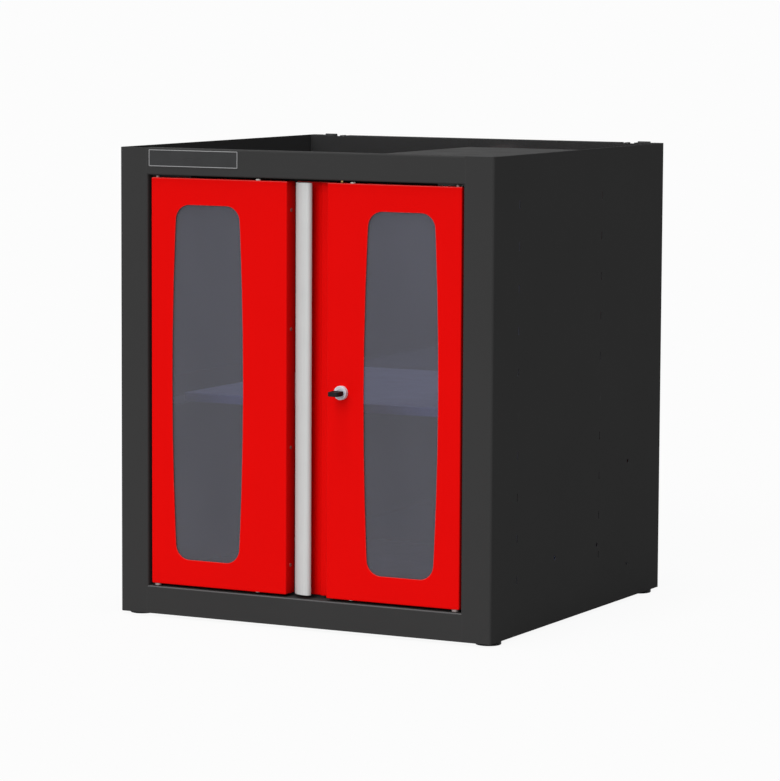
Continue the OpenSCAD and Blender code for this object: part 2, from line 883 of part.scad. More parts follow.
// Cuts that both door shells have, on the right-hand side
module shell_cuts() {
    at_window(door_recess - past, skin_in + past) window_outline();
    rivet_holes(door_edge, skin + past);
    for (end = [TOP, BOTTOM]) ended(end) {
        translate([pivot_x, pivot_y, door_high - skin - past])
            cylinder(r = pivot_d / 2, h = skin + 2 * past);
        translate([buffer_x, door_recess + buffer_back, door_high - skin - past])
            cylinder(r = buffer_stem_d / 2, h = skin + 2 * past);
    }
}

module left_door_shell() {
    color(door_red) place() handed(LEFT) difference() {
        translate([0, 0, door_low]) linear_extrude(door_h) plain_plan();
        translate([0, 0, door_low + skin]) linear_extrude(door_h - 2 * skin) plain_hollow();
        shell_cuts();
        mirror([1, 0, 0]) translate([left_edge - door_edge, 0, 0]) rivet_holes(door_edge, skin + past);
    }
}

module right_door_shell() {
    color(door_red) place() difference() {
        translate([0, 0, door_low]) linear_extrude(door_h) channel_plan();
        translate([0, 0, door_low + skin]) linear_extrude(door_h - 2 * skin) channel_hollow();
        shell_cuts();
        rod_along_y(lock_x, door_mid, housing_d / 2, door_recess - past, skin_in + past);
        for (z = handle_screw_levels())
            rod_along_y(handle_screw_x(), z, handle_screw_d / 2, floor_y - past, floor_y + skin + past);
        for (end = [TOP, BOTTOM]) ended(end)
            translate([lock_x - end * cam_r, rod_y, door_high - skin - past])
                cylinder(r = rod_d / 2 + hole_clear, h = skin + 2 * past);
    }
}

// Inner panel of a door, from its free edge to the hinge edge, with a flange along the hinge wall
module liner_sheet(free) {
    inner = door_edge - skin;
    low = door_low + skin;
    high = door_high - skin;
    slab([free, liner_front, low], [inner, door_back, high]);
    liner_side_flange(inner - liner_t, inner);
}

// Flange of a liner, short of the pivot blocks
module liner_side_flange(from, to) {
    clear = skin + pivot_hold + past;
    slab([from, door_back - liner_flange, door_low + clear], [to, door_back, door_high - clear]);
}

module liner_cut_out() {
    at_window(liner_front - past, door_back + past) window_frame(liner_clear);
}

module left_door_liner() {
    free = skin - left_edge;
    color(liner_red) place() handed(LEFT) difference() {
        union() {
            liner_sheet(free);
            liner_side_flange(free, free + liner_t);
        }
        liner_cut_out();
        rivet_holes(door_edge, skin + liner_t + past);
        mirror([1, 0, 0]) translate([left_edge - door_edge, 0, 0])
            rivet_holes(door_edge, skin + liner_t + past);
    }
}

module right_door_liner() {
    color(liner_red) place() difference() {
        liner_sheet(right_edge + skin);
        liner_cut_out();
        rivet_holes(door_edge, skin + liner_t + past);
    }
}

// Smoked pane behind a window
module window_pane(side) {
    color("#6a6e78", 0.5) place() handed(side)
        at_window(pane_front, pane_front + pane_t) window_frame(pane_lap);
}

module left_window_pane() {
    window_pane(LEFT);
}

module right_window_pane() {
    window_pane(RIGHT);
}

// Foam frame between a door's skin and its pane
module window_gasket(side) {
    color(black) place() handed(side) at_window(skin_in, pane_front) difference() {
        window_frame(pane_lap);
        offset(delta = gasket_back) window_outline();
    }
}

module left_window_gasket() {
    window_gasket(LEFT);
}

module right_window_gasket() {
    window_gasket(RIGHT);
}

// Row of rivets through a door wall, with heads on its outer face at the right
module rivet_row(face) {
    y = door_recess + rivet_back;
    for (z = row(door_mid, rivet_pitch, rivet_count)) {
        rod_along_x(y, z, rivet_d / 2, face - skin - liner_t - past, face);
        rod_along_x(y, z, rivet_head_d / 2, face, face + rivet_rise);
    }
}

module left_door_rivets() {
    color(zinc) place() handed(LEFT) {
        rivet_row(door_edge);
        mirror([1, 0, 0]) rivet_row(left_edge);
    }
}

module right_door_rivets() {
    color(zinc) place() rivet_row(door_edge);
}

// Section of the handle: leg and foot, curved blade and round nose
module handle_section() {
    leg_x = right_edge + handle_in;
    nose = [leg_x + blade_reach, door_recess + blade_back + nose_r];
    sweep_r = (pow(blade_reach, 2) + pow(blade_rise, 2)) / (2 * blade_rise);
    sweep = [nose[0], door_recess + blade_back + sweep_r];
    tilt = asin(blade_reach / sweep_r);
    inner_tilt = asin((blade_reach - blade_t) / (sweep_r - blade_t));
    polygon(concat(
        [[leg_x, floor_y]],
        arc(sweep, sweep_r, 270 - tilt, 270, 2 * bend_steps),
        arc(nose, nose_r, 270, 360, bend_steps),
        arc(nose, nose_r - blade_t, 360, 270, bend_steps),
        arc(sweep, sweep_r - blade_t, 270, 270 - inner_tilt, 2 * bend_steps),
        [[leg_x + blade_t, floor_y - blade_t], [leg_x + handle_foot, floor_y - blade_t],
         [leg_x + handle_foot, floor_y]]
    ));
}

// Places of the screws in the handle's foot
function handle_screw_x() = right_edge + handle_in + (blade_t + handle_foot) / 2;
function handle_screw_levels() = row(door_mid, door_h / handle_screws_n, handle_screws_n);

module handle_profile() {
    color(alu) place() difference() {
        translate([0, 0, door_low + handle_end_gap])
            linear_extrude(door_h - 2 * handle_end_gap) handle_section();
        for (z = handle_screw_levels())
            rod_along_y(handle_screw_x(), z, handle_screw_d / 2, floor_y - blade_t - past, floor_y + past);
    }
}

module handle_screws() {
    head = floor_y - blade_t;
    color(zinc) place() for (z = handle_screw_levels()) {
        rod_along_y(handle_screw_x(), z, handle_screw_head_d / 2, head - handle_screw_head_h, head);
        rod_along_y(handle_screw_x(), z, handle_screw_d / 2, head, floor_y + skin + past);
    }
}

// Fixed lock body: a face ring on the door and a bored housing through its skin
module lock_housing() {
    color(zinc) place() difference() {
        union() {
            rod_along_y(lock_x, door_mid, ring_d / 2, ring_front, door_recess);
            rod_along_y(lock_x, door_mid, housing_d / 2, ring_front, housing_rear);
        }
        rod_along_y(lock_x, door_mid, barrel_d / 2 + barrel_fit, ring_front - past, housing_rear + past);
    }
}

// Hexagon nut that clamps the lock behind the skin
module lock_nut() {
    color(zinc) place() difference() {
        translate([lock_x, skin_in, door_mid]) rotate([-90, 0, 0])
            cylinder(r = nut_af / sqrt(3), h = nut_t, $fn = 6);
        rod_along_y(lock_x, door_mid, housing_d / 2, skin_in - past, skin_in + nut_t + past);
    }
}

// Square tail of the barrel, which carries the cam
module barrel_tail(from, to) {
    slab([lock_x - tail_side / 2, from, door_mid - tail_side / 2],
         [lock_x + tail_side / 2, to, door_mid + tail_side / 2]);
}

module lock_barrel() {
    slot_w = blade_key_w + 2 * key_fit;
    slot_t = blade_key_t + 2 * key_fit;
    color(zinc) place() difference() {
        union() {
            rod_along_y(lock_x, door_mid, barrel_d / 2, ring_front + barrel_back, cam_front);
            barrel_tail(cam_front - past, cam_rear);
        }
        slab([lock_x - slot_w / 2, ring_front - past, door_mid - slot_t / 2],
             [lock_x + slot_w / 2, door_recess + key_depth + key_fit, door_mid + slot_t / 2]);
        rod_along_y(lock_x, door_mid, cam_screw_d / 2, cam_rear - cam_screw_l, cam_rear + past);
    }
}

// Outline of the two-armed cam about the lock axis, drawn with the rods in
module cam_outline() {
    arm_r = cam_pin_d / 2 + slot_wall;
    difference() {
        union() {
            rotate(45) square([2 * cam_r, cam_arm_w], center = true);
            for (side = [LEFT, RIGHT]) translate(side * cam_pin_at * [1, 1]) circle(r = arm_r);
            circle(r = tail_side);
        }
        square(tail_side, center = true);
    }
}

// Cam on the barrel's tail, with a pin for each rod
module lock_cam() {
    color(zinc) place() {
        translate([lock_x, cam_rear, door_mid]) rotate([90, 0, 0]) linear_extrude(cam_t) cam_outline();
        for (side = [LEFT, RIGHT])
            rod_along_y(lock_x + side * cam_pin_at, door_mid + side * cam_pin_at, cam_pin_d / 2,
                        cam_front + cam_t / 2, rod_flat_y + rod_flat_t + rod_gap);
    }
}

module cam_screw() {
    color(zinc) place() {
        rod_along_y(lock_x, door_mid, cam_screw_d / 2, cam_rear - cam_screw_l, cam_rear);
        rod_along_y(lock_x, door_mid, cam_screw_head_d / 2, cam_rear, cam_rear + cam_screw_head_h);
    }
}

// Flat blade of the key, from its bow into the barrel
module key_blade() {
    color(zinc) place()
        slab([lock_x - blade_key_w / 2, bow_l - key_out, door_mid - blade_key_t / 2],
             [lock_x + blade_key_w / 2, door_recess + key_depth, door_mid + blade_key_t / 2]);
}

// Plastic bow of the key, with round corners
module key_bow() {
    color(black) place() translate([lock_x, 0, door_mid - bow_t / 2]) linear_extrude(bow_t) {
        translate([-bow_w / 2, bow_r - key_out]) square([bow_w, bow_l - 2 * bow_r]);
        translate([bow_r - bow_w / 2, -key_out]) square([bow_w - 2 * bow_r, bow_l]);
        for (x = [bow_r - bow_w / 2, bow_w / 2 - bow_r], y = [bow_r, bow_l - bow_r])
            translate([x, y - key_out]) circle(r = bow_r);
    }
}

// Upper lock rod about the lock axis: a flat end with an open slot, then the round rod
module lock_rod() {
    outer = cam_r + slot_half + slot_wall;
    inner = cam_pin_at - slot_half;
    difference() {
        slab([lock_x - outer, rod_flat_y, door_mid - cam_pin_at - slot_half - slot_wall],
             [lock_x - inner, rod_flat_y + rod_flat_t, door_mid + rod_flat_l]);
        slab([lock_x - cam_r - slot_half, rod_flat_y - past, door_mid - cam_pin_at - slot_half],
             [lock_x, rod_flat_y + rod_flat_t + past, door_mid - cam_pin_at + slot_half]);
    }
    translate([lock_x - cam_r, rod_y, door_mid + rod_flat_l - rod_flat_t])
        cylinder(r = rod_d / 2, h = door_h / 2 + rod_out - rod_flat_l + rod_flat_t);
}

module upper_lock_rod() {
    color(brass_yellow) place() lock_rod();
}

module lower_lock_rod() {
    color(brass_yellow) place() translate([2 * lock_x, 0, 2 * door_mid])
        rotate([0, 180, 0]) lock_rod();
}

// Guides on the liner that the rods run through
module rod_guides() {
    color(black) place() for (end = [TOP, BOTTOM]) difference() {
        slab([lock_x - end * cam_r - guide_w / 2, rod_y - rod_d, door_mid + end * guide_at - guide_l / 2],
             [lock_x - end * cam_r + guide_w / 2, liner_front, door_mid + end * guide_at + guide_l / 2]);
        translate([lock_x - end * cam_r, rod_y, door_mid + end * guide_at - guide_l / 2 - past])
            cylinder(r = rod_d / 2 + guide_fit, h = guide_l + 2 * past);
    }
}

// Blank label plate on the top rail
module label_plate() {
    color(black) place() slab([label_in - post_x, -label_t, body_h - label_drop - label_h],
                              [label_in + label_w - post_x, 0, body_h - label_drop]);
}

left_side_panel();
right_side_panel();
back_panel();
floor_panel();
top_front_rail();
bottom_front_rail();
top_rear_rail();
corner_plate();
door_stops();
left_shelf_rail();
right_shelf_rail();
feet();
foot_screws();
foot_nuts();
pivot_bushes();
label_plate();
shelf();
left_door_shell();
left_door_liner();
left_window_pane();
left_window_gasket();
left_door_rivets();
left_pivot_pins();
left_pivot_blocks();
left_door_buffers();
right_door_shell();
right_door_liner();
right_window_pane();
right_window_gasket();
right_door_rivets();
right_pivot_pins();
right_pivot_blocks();
right_door_buffers();
handle_profile();
handle_screws();
lock_housing();
lock_nut();
rod_guides();
lock_barrel();
lock_cam();
cam_screw();
key_blade();
key_bow();
upper_lock_rod();
lower_lock_rod();
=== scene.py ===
"""Looks of the workshop base cabinet: folded steel carcass, two windowed doors, blade handle and key lock.

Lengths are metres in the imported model's own frame: X to the right, Y to the back, Z up from the ground.
"""

import logging
import math
from collections.abc import Callable, Iterator
from contextlib import contextmanager
from dataclasses import dataclass, field
from enum import Enum

import bmesh
import bpy
from mathutils import Matrix, Vector


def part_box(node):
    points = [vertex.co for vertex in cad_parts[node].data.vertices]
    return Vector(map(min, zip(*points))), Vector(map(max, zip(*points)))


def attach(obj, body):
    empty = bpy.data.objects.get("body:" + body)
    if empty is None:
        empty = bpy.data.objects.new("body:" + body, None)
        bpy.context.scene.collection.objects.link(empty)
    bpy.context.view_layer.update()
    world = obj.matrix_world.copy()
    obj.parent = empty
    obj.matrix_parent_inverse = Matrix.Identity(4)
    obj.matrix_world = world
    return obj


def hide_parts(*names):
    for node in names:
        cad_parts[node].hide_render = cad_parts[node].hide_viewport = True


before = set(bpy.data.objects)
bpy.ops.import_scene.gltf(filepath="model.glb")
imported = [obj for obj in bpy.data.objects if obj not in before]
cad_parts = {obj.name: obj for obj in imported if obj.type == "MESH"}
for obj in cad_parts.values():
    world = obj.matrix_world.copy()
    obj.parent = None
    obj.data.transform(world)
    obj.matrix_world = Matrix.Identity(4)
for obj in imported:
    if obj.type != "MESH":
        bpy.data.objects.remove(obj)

LOG = logging.getLogger("cabinet")
MM = 0.001
# Places closer than TOUCH count as one, and a cutting tool reaches PAST beyond what it cuts
TOUCH = 0.05 * MM
MERGE = TOUCH / 10
PAST = 2 * MM
FOLD_ANGLE = math.radians(20)
SHARP_ANGLE = math.radians(38)
PARALLEL = 0.999
LEANING = 0.2
RIVET_SIDES = 24
HOLE_SIDES = 32
ROUND_SIDES = 48
TURNED_SIDES = 64
# Face attribute for a painted highlight: marked faces get lighter paint in place of light catching a fold
FOLD_HIGHLIGHT = "wear_and_highlight"
Test = Callable[..., bool]
Triple = tuple[float, float, float]
Colour = Triple
Source = bpy.types.NodeSocket | float | Colour | Vector
Inputs = dict[str | int, Source]


class Side(Enum):
    """Left or right half of the cabinet, as the sign of X."""

    LEFT = -1
    RIGHT = 1


class End(Enum):
    """Lower or upper end of the cabinet's front, as the sign of Z."""

    BOTTOM = -1
    TOP = 1


class Axis(Enum):
    """Direction of a round bar, as the turn that lays an upright one along it."""

    X = (0.0, math.pi / 2, 0.0)
    Y = (-math.pi / 2, 0.0, 0.0)
    Z = (0.0, 0.0, 0.0)

    @property
    def unit(self) -> Vector:
        """Gives the unit vector along this axis."""
        return Vector([float(letter == self.name) for letter in "XYZ"])


class Element(Enum):
    """Kind of mesh element that a pick looks at."""

    EDGE = "EDGE"
    FACE = "FACE"


class Body(Enum):
    """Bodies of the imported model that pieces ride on."""

    CARCASS = "carcass"
    SHELF = "shelf"
    LEFT_DOOR = "left_door"
    RIGHT_DOOR = "right_door"
    LOCK_BARREL = "lock_barrel"
    KEY = "key"


class Slot(Enum):
    """Material slots of the record."""

    CARCASS_PAINT = "carcass_paint"
    DOOR_PAINT = "door_paint"
    SMOKED_PANE = "smoked_pane"
    BLACK_FOAM = "black_foam"
    ZINC_STEEL = "zinc_steel"
    BRIGHT_LOCK = "bright_lock"
    SATIN_ALUMINIUM = "satin_aluminium"
    YELLOW_ROD = "yellow_rod"
    BLACK_PLASTIC = "black_plastic"
    WHITE_NYLON = "white_nylon"
    LABEL_BLACK = "label_black"


@dataclass(frozen=True)
class Arc:
    """Part of a turn that an edge is swept through, about an upright axis."""

    centre: Vector
    angle: float
    steps: int


def middle(element: bmesh.types.BMEdge | bmesh.types.BMFace) -> Vector:
    """Gives the mean place of an element's corners."""
    return sum((corner.co for corner in element.verts), Vector()) / len(element.verts)


def lies_at(axis: Axis, value: float) -> Test:
    """Makes a test for elements that lie in one plane square to an axis.

    Args:
        axis: Axis that the plane is square to.
        value: Place of the plane along it.

    Returns:
        A test for an edge or a face.
    """
    return lambda element: all(abs(corner.co.dot(axis.unit) - value) < TOUCH for corner in element.verts)


def runs_along(axis: Axis) -> Test:
    """Makes a test for edges that are parallel to an axis."""
    return lambda edge: abs((edge.verts[1].co - edge.verts[0].co).normalized().dot(axis.unit)) > PARALLEL


def all_of(*tests: Test) -> Test:
    """Makes one test out of several that must all hold."""
    return lambda element: all(test(element) for test in tests)


def is_fold(edge: bmesh.types.BMEdge) -> bool:
    """Says whether an edge lies between two faces that stand at an angle."""
    return len(edge.link_faces) == 2 and edge.calc_face_angle() > FOLD_ANGLE


def is_sharp(edge: bmesh.types.BMEdge) -> bool:
    """Says whether an edge lies between two faces that meet sharply."""
    return len(edge.link_faces) == 2 and edge.calc_face_angle() > SHARP_ANGLE


def faces_up_front(face: bpy.types.MeshPolygon) -> bool:
    """Says whether a face is part of a fold between the front and the top."""
    return face.normal.y < -LEANING and face.normal.z > LEANING


def front_centre(node: str) -> Vector:
    """Gives the middle of the front of a node's box."""
    low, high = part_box(node)
    return Vector(((low.x + high.x) / 2, low.y, (low.z + high.z) / 2))


def clear_selection() -> None:
    """Deselects every object, because an operator acts on all that is selected."""
    bpy.ops.object.select_all(action="DESELECT")


class Workpiece:
    """One mesh on the bench, shaped in edit mode and finished with applied modifiers."""

    def __init__(self, obj: bpy.types.Object) -> None:
        """Takes an object onto the bench."""
        self.obj = obj

    @classmethod
    def _taken(cls, name: str) -> "Workpiece":
        """Names the primitive that was just added and puts its place into its mesh."""
        bpy.ops.object.transform_apply(location=True, rotation=True, scale=True)
        obj = bpy.context.active_object
        obj.name = name
        obj.data.name = name
        return cls(obj)

    @classmethod
    def block(cls, name: str, low: Vector, high: Vector) -> "Workpiece":
        """Adds a cube stretched between two corners.

        Args:
            name: Name of the piece.
            low: Lowest corner.
            high: Highest corner.

        Returns:
            The new piece.
        """
        clear_selection()
        bpy.ops.mesh.primitive_cube_add(size=1, location=(low + high) / 2, scale=high - low)
        return cls._taken(name)

    @classmethod
    def plate(cls, name: str, low: Vector, high: Vector, facing: Vector) -> "Workpiece":
        """Adds a flat rectangle between two corners that share one coordinate.

        Args:
            name: Name of the piece.
            low: Lowest corner.
            high: Highest corner.
            facing: Side that the rectangle's normal is turned to.

        Returns:
            The new piece.
        """
        size = high - low
        flat = min(range(3), key=lambda i: size[i])
        turn, scale = (
            ((0, math.pi / 2, 0), (size.z, size.y, 1)),
            ((math.pi / 2, 0, 0), (size.x, size.z, 1)),
            ((0, 0, 0), (size.x, size.y, 1)),
        )[flat]
        clear_selection()
        bpy.ops.mesh.primitive_plane_add(size=1, location=(low + high) / 2, rotation=turn)
        bpy.context.active_object.scale = scale
        piece = cls._taken(name)
        if piece.obj.data.polygons[0].normal.dot(facing) < 0:
            with piece.editing():
                bpy.ops.mesh.select_all(action="SELECT")
                bpy.ops.mesh.flip_normals()
        return piece

    @classmethod
    def bar(cls, name: str, base: Vector, axis: Axis, radius: float, length: float,
            sides: int = ROUND_SIDES) -> "Workpiece":
        """Adds a round bar.

        Args:
            name: Name of the piece.
            base: Middle of its first end.
            axis: Direction that it runs in.
            radius: Its radius.
            length: Its length, negative to run the other way.
            sides: Number of flats around it.

        Returns:
            The new piece.
        """
        clear_selection()
        bpy.ops.mesh.primitive_cylinder_add(
            vertices=sides, radius=radius, depth=abs(length),
            location=base + axis.unit * length / 2, rotation=axis.value)
        return cls._taken(name)

    def focus(self) -> None:
        """Makes this the only selected object and the active one."""
        clear_selection()
        self.obj.select_set(True)
        bpy.context.view_layer.objects.active = self.obj

    @contextmanager
    def editing(self) -> Iterator[None]:
        """Holds the piece in edit mode with nothing picked."""
        self.focus()
        bpy.ops.object.mode_set(mode="EDIT")
        bpy.ops.mesh.select_all(action="DESELECT")
        yield
        bpy.ops.object.mode_set(mode="OBJECT")

    def _pick(self, kind: Element, test: Test) -> None:
        """Picks the edges or faces for which a test holds."""
        bpy.ops.mesh.select_mode(type=kind.value)
        mesh = bmesh.from_edit_mesh(self.obj.data)
        mesh.normal_update()
        elements = mesh.edges if kind is Element.EDGE else mesh.faces
        for element in elements:
            element.select_set(bool(test(element)))
        mesh.select_flush_mode()
        bmesh.update_edit_mesh(self.obj.data)

    def _nearest_edge(self, place: Vector) -> Test:
        """Makes a test for the one edge whose middle is nearest to a place."""
        edges = bmesh.from_edit_mesh(self.obj.data).edges
        nearest = min((middle(edge) - place).length for edge in edges)
        return lambda edge: (middle(edge) - place).length < nearest + TOUCH

    def fold(self, place: Vector, *steps: Vector | Arc) -> "Workpiece":
        """Draws new faces out of the edge nearest to a place.

        Args:
            place: Middle of the edge.
            steps: Moves for straight flanges, and arcs for curved ones, in order.

        Returns:
            This piece.
        """
        with self.editing():
            self._pick(Element.EDGE, self._nearest_edge(place))
            for step in steps:
                if isinstance(step, Arc):
                    bpy.ops.mesh.spin(steps=step.steps, angle=-step.angle, center=step.centre,
                                      axis=Axis.Z.unit)
                else:
                    bpy.ops.mesh.extrude_region_move(TRANSFORM_OT_translate={"value": step})
        return self

    def cap(self, test: Test) -> "Workpiece":
        """Closes the outline of the picked edges with one face."""
        with self.editing():
            self._pick(Element.EDGE, test)
            bpy.ops.mesh.edge_face_add()
        return self

    def drop(self, test: Test) -> "Workpiece":
        """Deletes the picked faces, so that a block becomes an open tray."""
        with self.editing():
            self._pick(Element.FACE, test)
            bpy.ops.mesh.delete(type="ONLY_FACE")
        return self

    def round_edges(self, test: Test, radius: float, segments: int = 4) -> "Workpiece":
        """Bevels the picked edges to a round.

        Args:
            test: Picks the edges.
            radius: Radius of the round.
            segments: Number of faces across it.

        Returns:
            This piece.
        """
        with self.editing():
            self._pick(Element.EDGE, test)
            bpy.ops.mesh.bevel(offset=radius, segments=segments, affect="EDGES", clamp_overlap=False)
        return self

    def sink(self, test: Test, border: float, move: Vector) -> "Workpiece":
        """Insets the picked faces and moves what is left, as a recess or a stub.

        Args:
            test: Picks the faces.
            border: Width that stays around each of them.
            move: How far the inner face moves.

        Returns:
            This piece.
        """
        with self.editing():
            self._pick(Element.FACE, test)
            bpy.ops.mesh.inset(thickness=border)
            bpy.ops.mesh.extrude_region_move(TRANSFORM_OT_translate={"value": move})
        return self

    def hollow_faces(self, axis: Axis, border: float, depth: float) -> "Workpiece":
        """Sinks a recess into both of the faces that bound the piece along an axis.

        Args:
            axis: Axis that the faces are square to.
            border: Width that stays around each recess.
            depth: Depth of each recess.

        Returns:
            This piece.
        """
        places = [corner.co.dot(axis.unit) for corner in self.obj.data.vertices]
        for level, move in ((min(places), depth), (max(places), -depth)):
            self.sink(lies_at(axis, level), border, axis.unit * move)
        return self

    def outward(self) -> "Workpiece":
        """Merges doubles and turns every face outwards."""
        with self.editing():
            bpy.ops.mesh.select_all(action="SELECT")
            bpy.ops.mesh.remove_doubles(threshold=MERGE)
            bpy.ops.mesh.normals_make_consistent(inside=False)
        return self

    def modify(self, kind: str, **settings: object) -> "Workpiece":
        """Adds a modifier and applies it.

        Args:
            kind: Blender's name for the modifier.
            settings: Its settings.

        Returns:
            This piece.
        """
        modifier = self.obj.modifiers.new(kind.title(), kind)
        for key, value in settings.items():
            setattr(modifier, key, value)
        self.focus()
        bpy.ops.object.modifier_apply(modifier=modifier.name)
        return self

    def thicken(self, thickness: float) -> "Workpiece":
        """Gives a sheet its thickness behind its outer face."""
        return self.modify("SOLIDIFY", thickness=thickness, offset=-1, use_even_offset=True,
                           use_quality_normals=True)

    def repeat(self, count: int, step: Vector) -> "Workpiece":
        """Repeats the mesh in a row."""
        return self.modify("ARRAY", count=count, use_relative_offset=False, use_constant_offset=True,
                           constant_offset_displace=step)

    def _combine(self, operation: str, others: tuple["Workpiece", ...]) -> "Workpiece":
        """Runs one boolean with each other piece and scraps it."""
        for other in others:
            self.modify("BOOLEAN", operation=operation, solver="EXACT", object=other.obj)
            mesh = other.obj.data
            bpy.data.objects.remove(other.obj)
            bpy.data.meshes.remove(mesh)
        return self

    def cut(self, *tools: "Workpiece") -> "Workpiece":
        """Cuts other pieces out of this one."""
        return self._combine("DIFFERENCE", tools)

    def weld_on(self, *parts: "Workpiece") -> "Workpiece":
        """Makes other pieces one solid with this one."""
        return self._combine("UNION", parts)

    def trim_to(self, *limits: "Workpiece") -> "Workpiece":
        """Keeps only what lies inside other pieces."""
        return self._combine("INTERSECT", limits)

    def copy(self, move: Vector) -> "Workpiece":
        """Copies the piece, with its own mesh, to another place."""
        self.focus()
        bpy.ops.object.duplicate(linked=False)
        bpy.ops.transform.translate(value=move)
        return self._taken(self.obj.name + "_copy")

    def gather(self, *others: "Workpiece") -> "Workpiece":
        """Joins separate solids into one piece."""
        self.focus()
        for other in others:
            other.obj.select_set(True)
        bpy.ops.object.join()
        return self

    def soften(self, width: float, segments: int = 2, keep: Test | None = None) -> "Workpiece":
        """Breaks the sharp edges and shades the rounds smooth.

        Args:
            width: Width of the broken edge.
            segments: Number of faces across it.
            keep: Picks sharp edges that stay as they are, such as a welded seam's.

        Returns:
            This piece.
        """
        self.round_edges(lambda edge: is_sharp(edge) and not (keep and keep(edge)), width, segments)
        return self.shade()

    def shade(self) -> "Workpiece":
        """Shades rounds smooth and keeps flats flat."""
        self.focus()
        bpy.ops.object.shade_smooth_by_angle(angle=SHARP_ANGLE)
        return self.modify("WEIGHTED_NORMAL", keep_sharp=True, weight=100)

    def paint_fold_highlight(self, test: Test, share: float) -> "Workpiece":
        """Marks the faces that get a painted highlight, lighter paint in place of light catching them, for
        the finish to read.

        Args:
            test: Picks the faces.
            share: How much of the paint's edge colour shows there as painted highlight.

        Returns:
            This piece.
        """
        layer = self.obj.data.attributes.new(FOLD_HIGHLIGHT, "FLOAT", "FACE")
        for face in self.obj.data.polygons:
            layer.data[face.index].value = share * test(face)
        return self

    def fit(self, body: Body, finish: "Finish", *nodes: str) -> "Workpiece":
        """Hangs the piece on its body, dresses it and hides the nodes that it stands for.

        Args:
            body: Body that it rides on.
            finish: Finish that it wears.
            nodes: CAD nodes that it replaces.

        Returns:
            This piece.
        """
        self.obj.data.materials.clear()
        self.obj.data.materials.append(finish.material())
        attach(self.obj, body.value)
        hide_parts(*nodes)
        faces = len(self.obj.data.polygons)
        LOG.info("%s: %d faces on %s, %s", self.obj.name, faces, body.value, finish.name)
        return self

    def coat_faces(self, finish: "Finish", test: Test) -> "Workpiece":
        """Gives some faces of a fitted piece a second finish.

        Args:
            finish: Finish that they wear.
            test: Picks the faces.

        Returns:
            This piece.
        """
        self.obj.data.materials.append(finish.material())
        for face in self.obj.data.polygons:
            face.material_index = int(test(face))
        return self


class Wiring:
    """Shader nodes of one tree, added and wired one at a time."""

    def __init__(self, tree: bpy.types.NodeTree) -> None:
        """Takes a node tree."""
        self.tree = tree

    def feed(self, target: bpy.types.NodeSocket, value: Source) -> None:
        """Wires an output to an input, or sets the input to a number, a vector or a colour.

        Args:
            target: The input.
            value: What goes into it.
        """
        if isinstance(value, bpy.types.NodeSocket):
            self.tree.links.new(value, target)
        else:
            target.default_value = (*value, 1.0) if isinstance(value, tuple) else value

    def add(self, kind: str, inputs: Inputs | None = None, **settings: object) -> bpy.types.Node:
        """Adds a node.

        Args:
            kind: Blender's name for the node.
            inputs: What goes into its inputs, by their names or numbers.
            settings: Values of its attributes.

        Returns:
            The node.
        """
        node = self.tree.nodes.new(kind)
        for key, value in settings.items():
            setattr(node, key, value)
        for key, value in (inputs or {}).items():
            self.feed(node.inputs[key], value)
        return node

    def join(self, operation: str, first: Source, second: Source) -> bpy.types.NodeSocket:
        """Works out one value from two.

        Args:
            operation: Blender's name for the operation.
            first: First value.
            second: Second value.

        Returns:
            The result.
        """
        return self.add("ShaderNodeMath", {0: first, 1: second}, operation=operation).outputs[0]

    def spread(self, value: bpy.types.NodeSocket, low: float, high: float, start: float = 0.3,
               end: float = 0.7) -> bpy.types.NodeSocket:
        """Maps a pattern's value to a range.

        Args:
            value: The pattern.
            low: Result at its start.
            high: Result at its end.
            start: Pattern value that gives low.
            end: Pattern value that gives high.

        Returns:
            The mapped value.
        """
        limits = {"From Min": start, "From Max": end, "To Min": low, "To Max": high}
        return self.add("ShaderNodeMapRange", {"Value": value, **limits}).outputs["Result"]

    def mask(self, pattern: bpy.types.NodeSocket) -> bpy.types.NodeSocket:
        """Maps a pattern's value to a share from 0 to 1."""
        return self.spread(pattern, 0.0, 1.0)


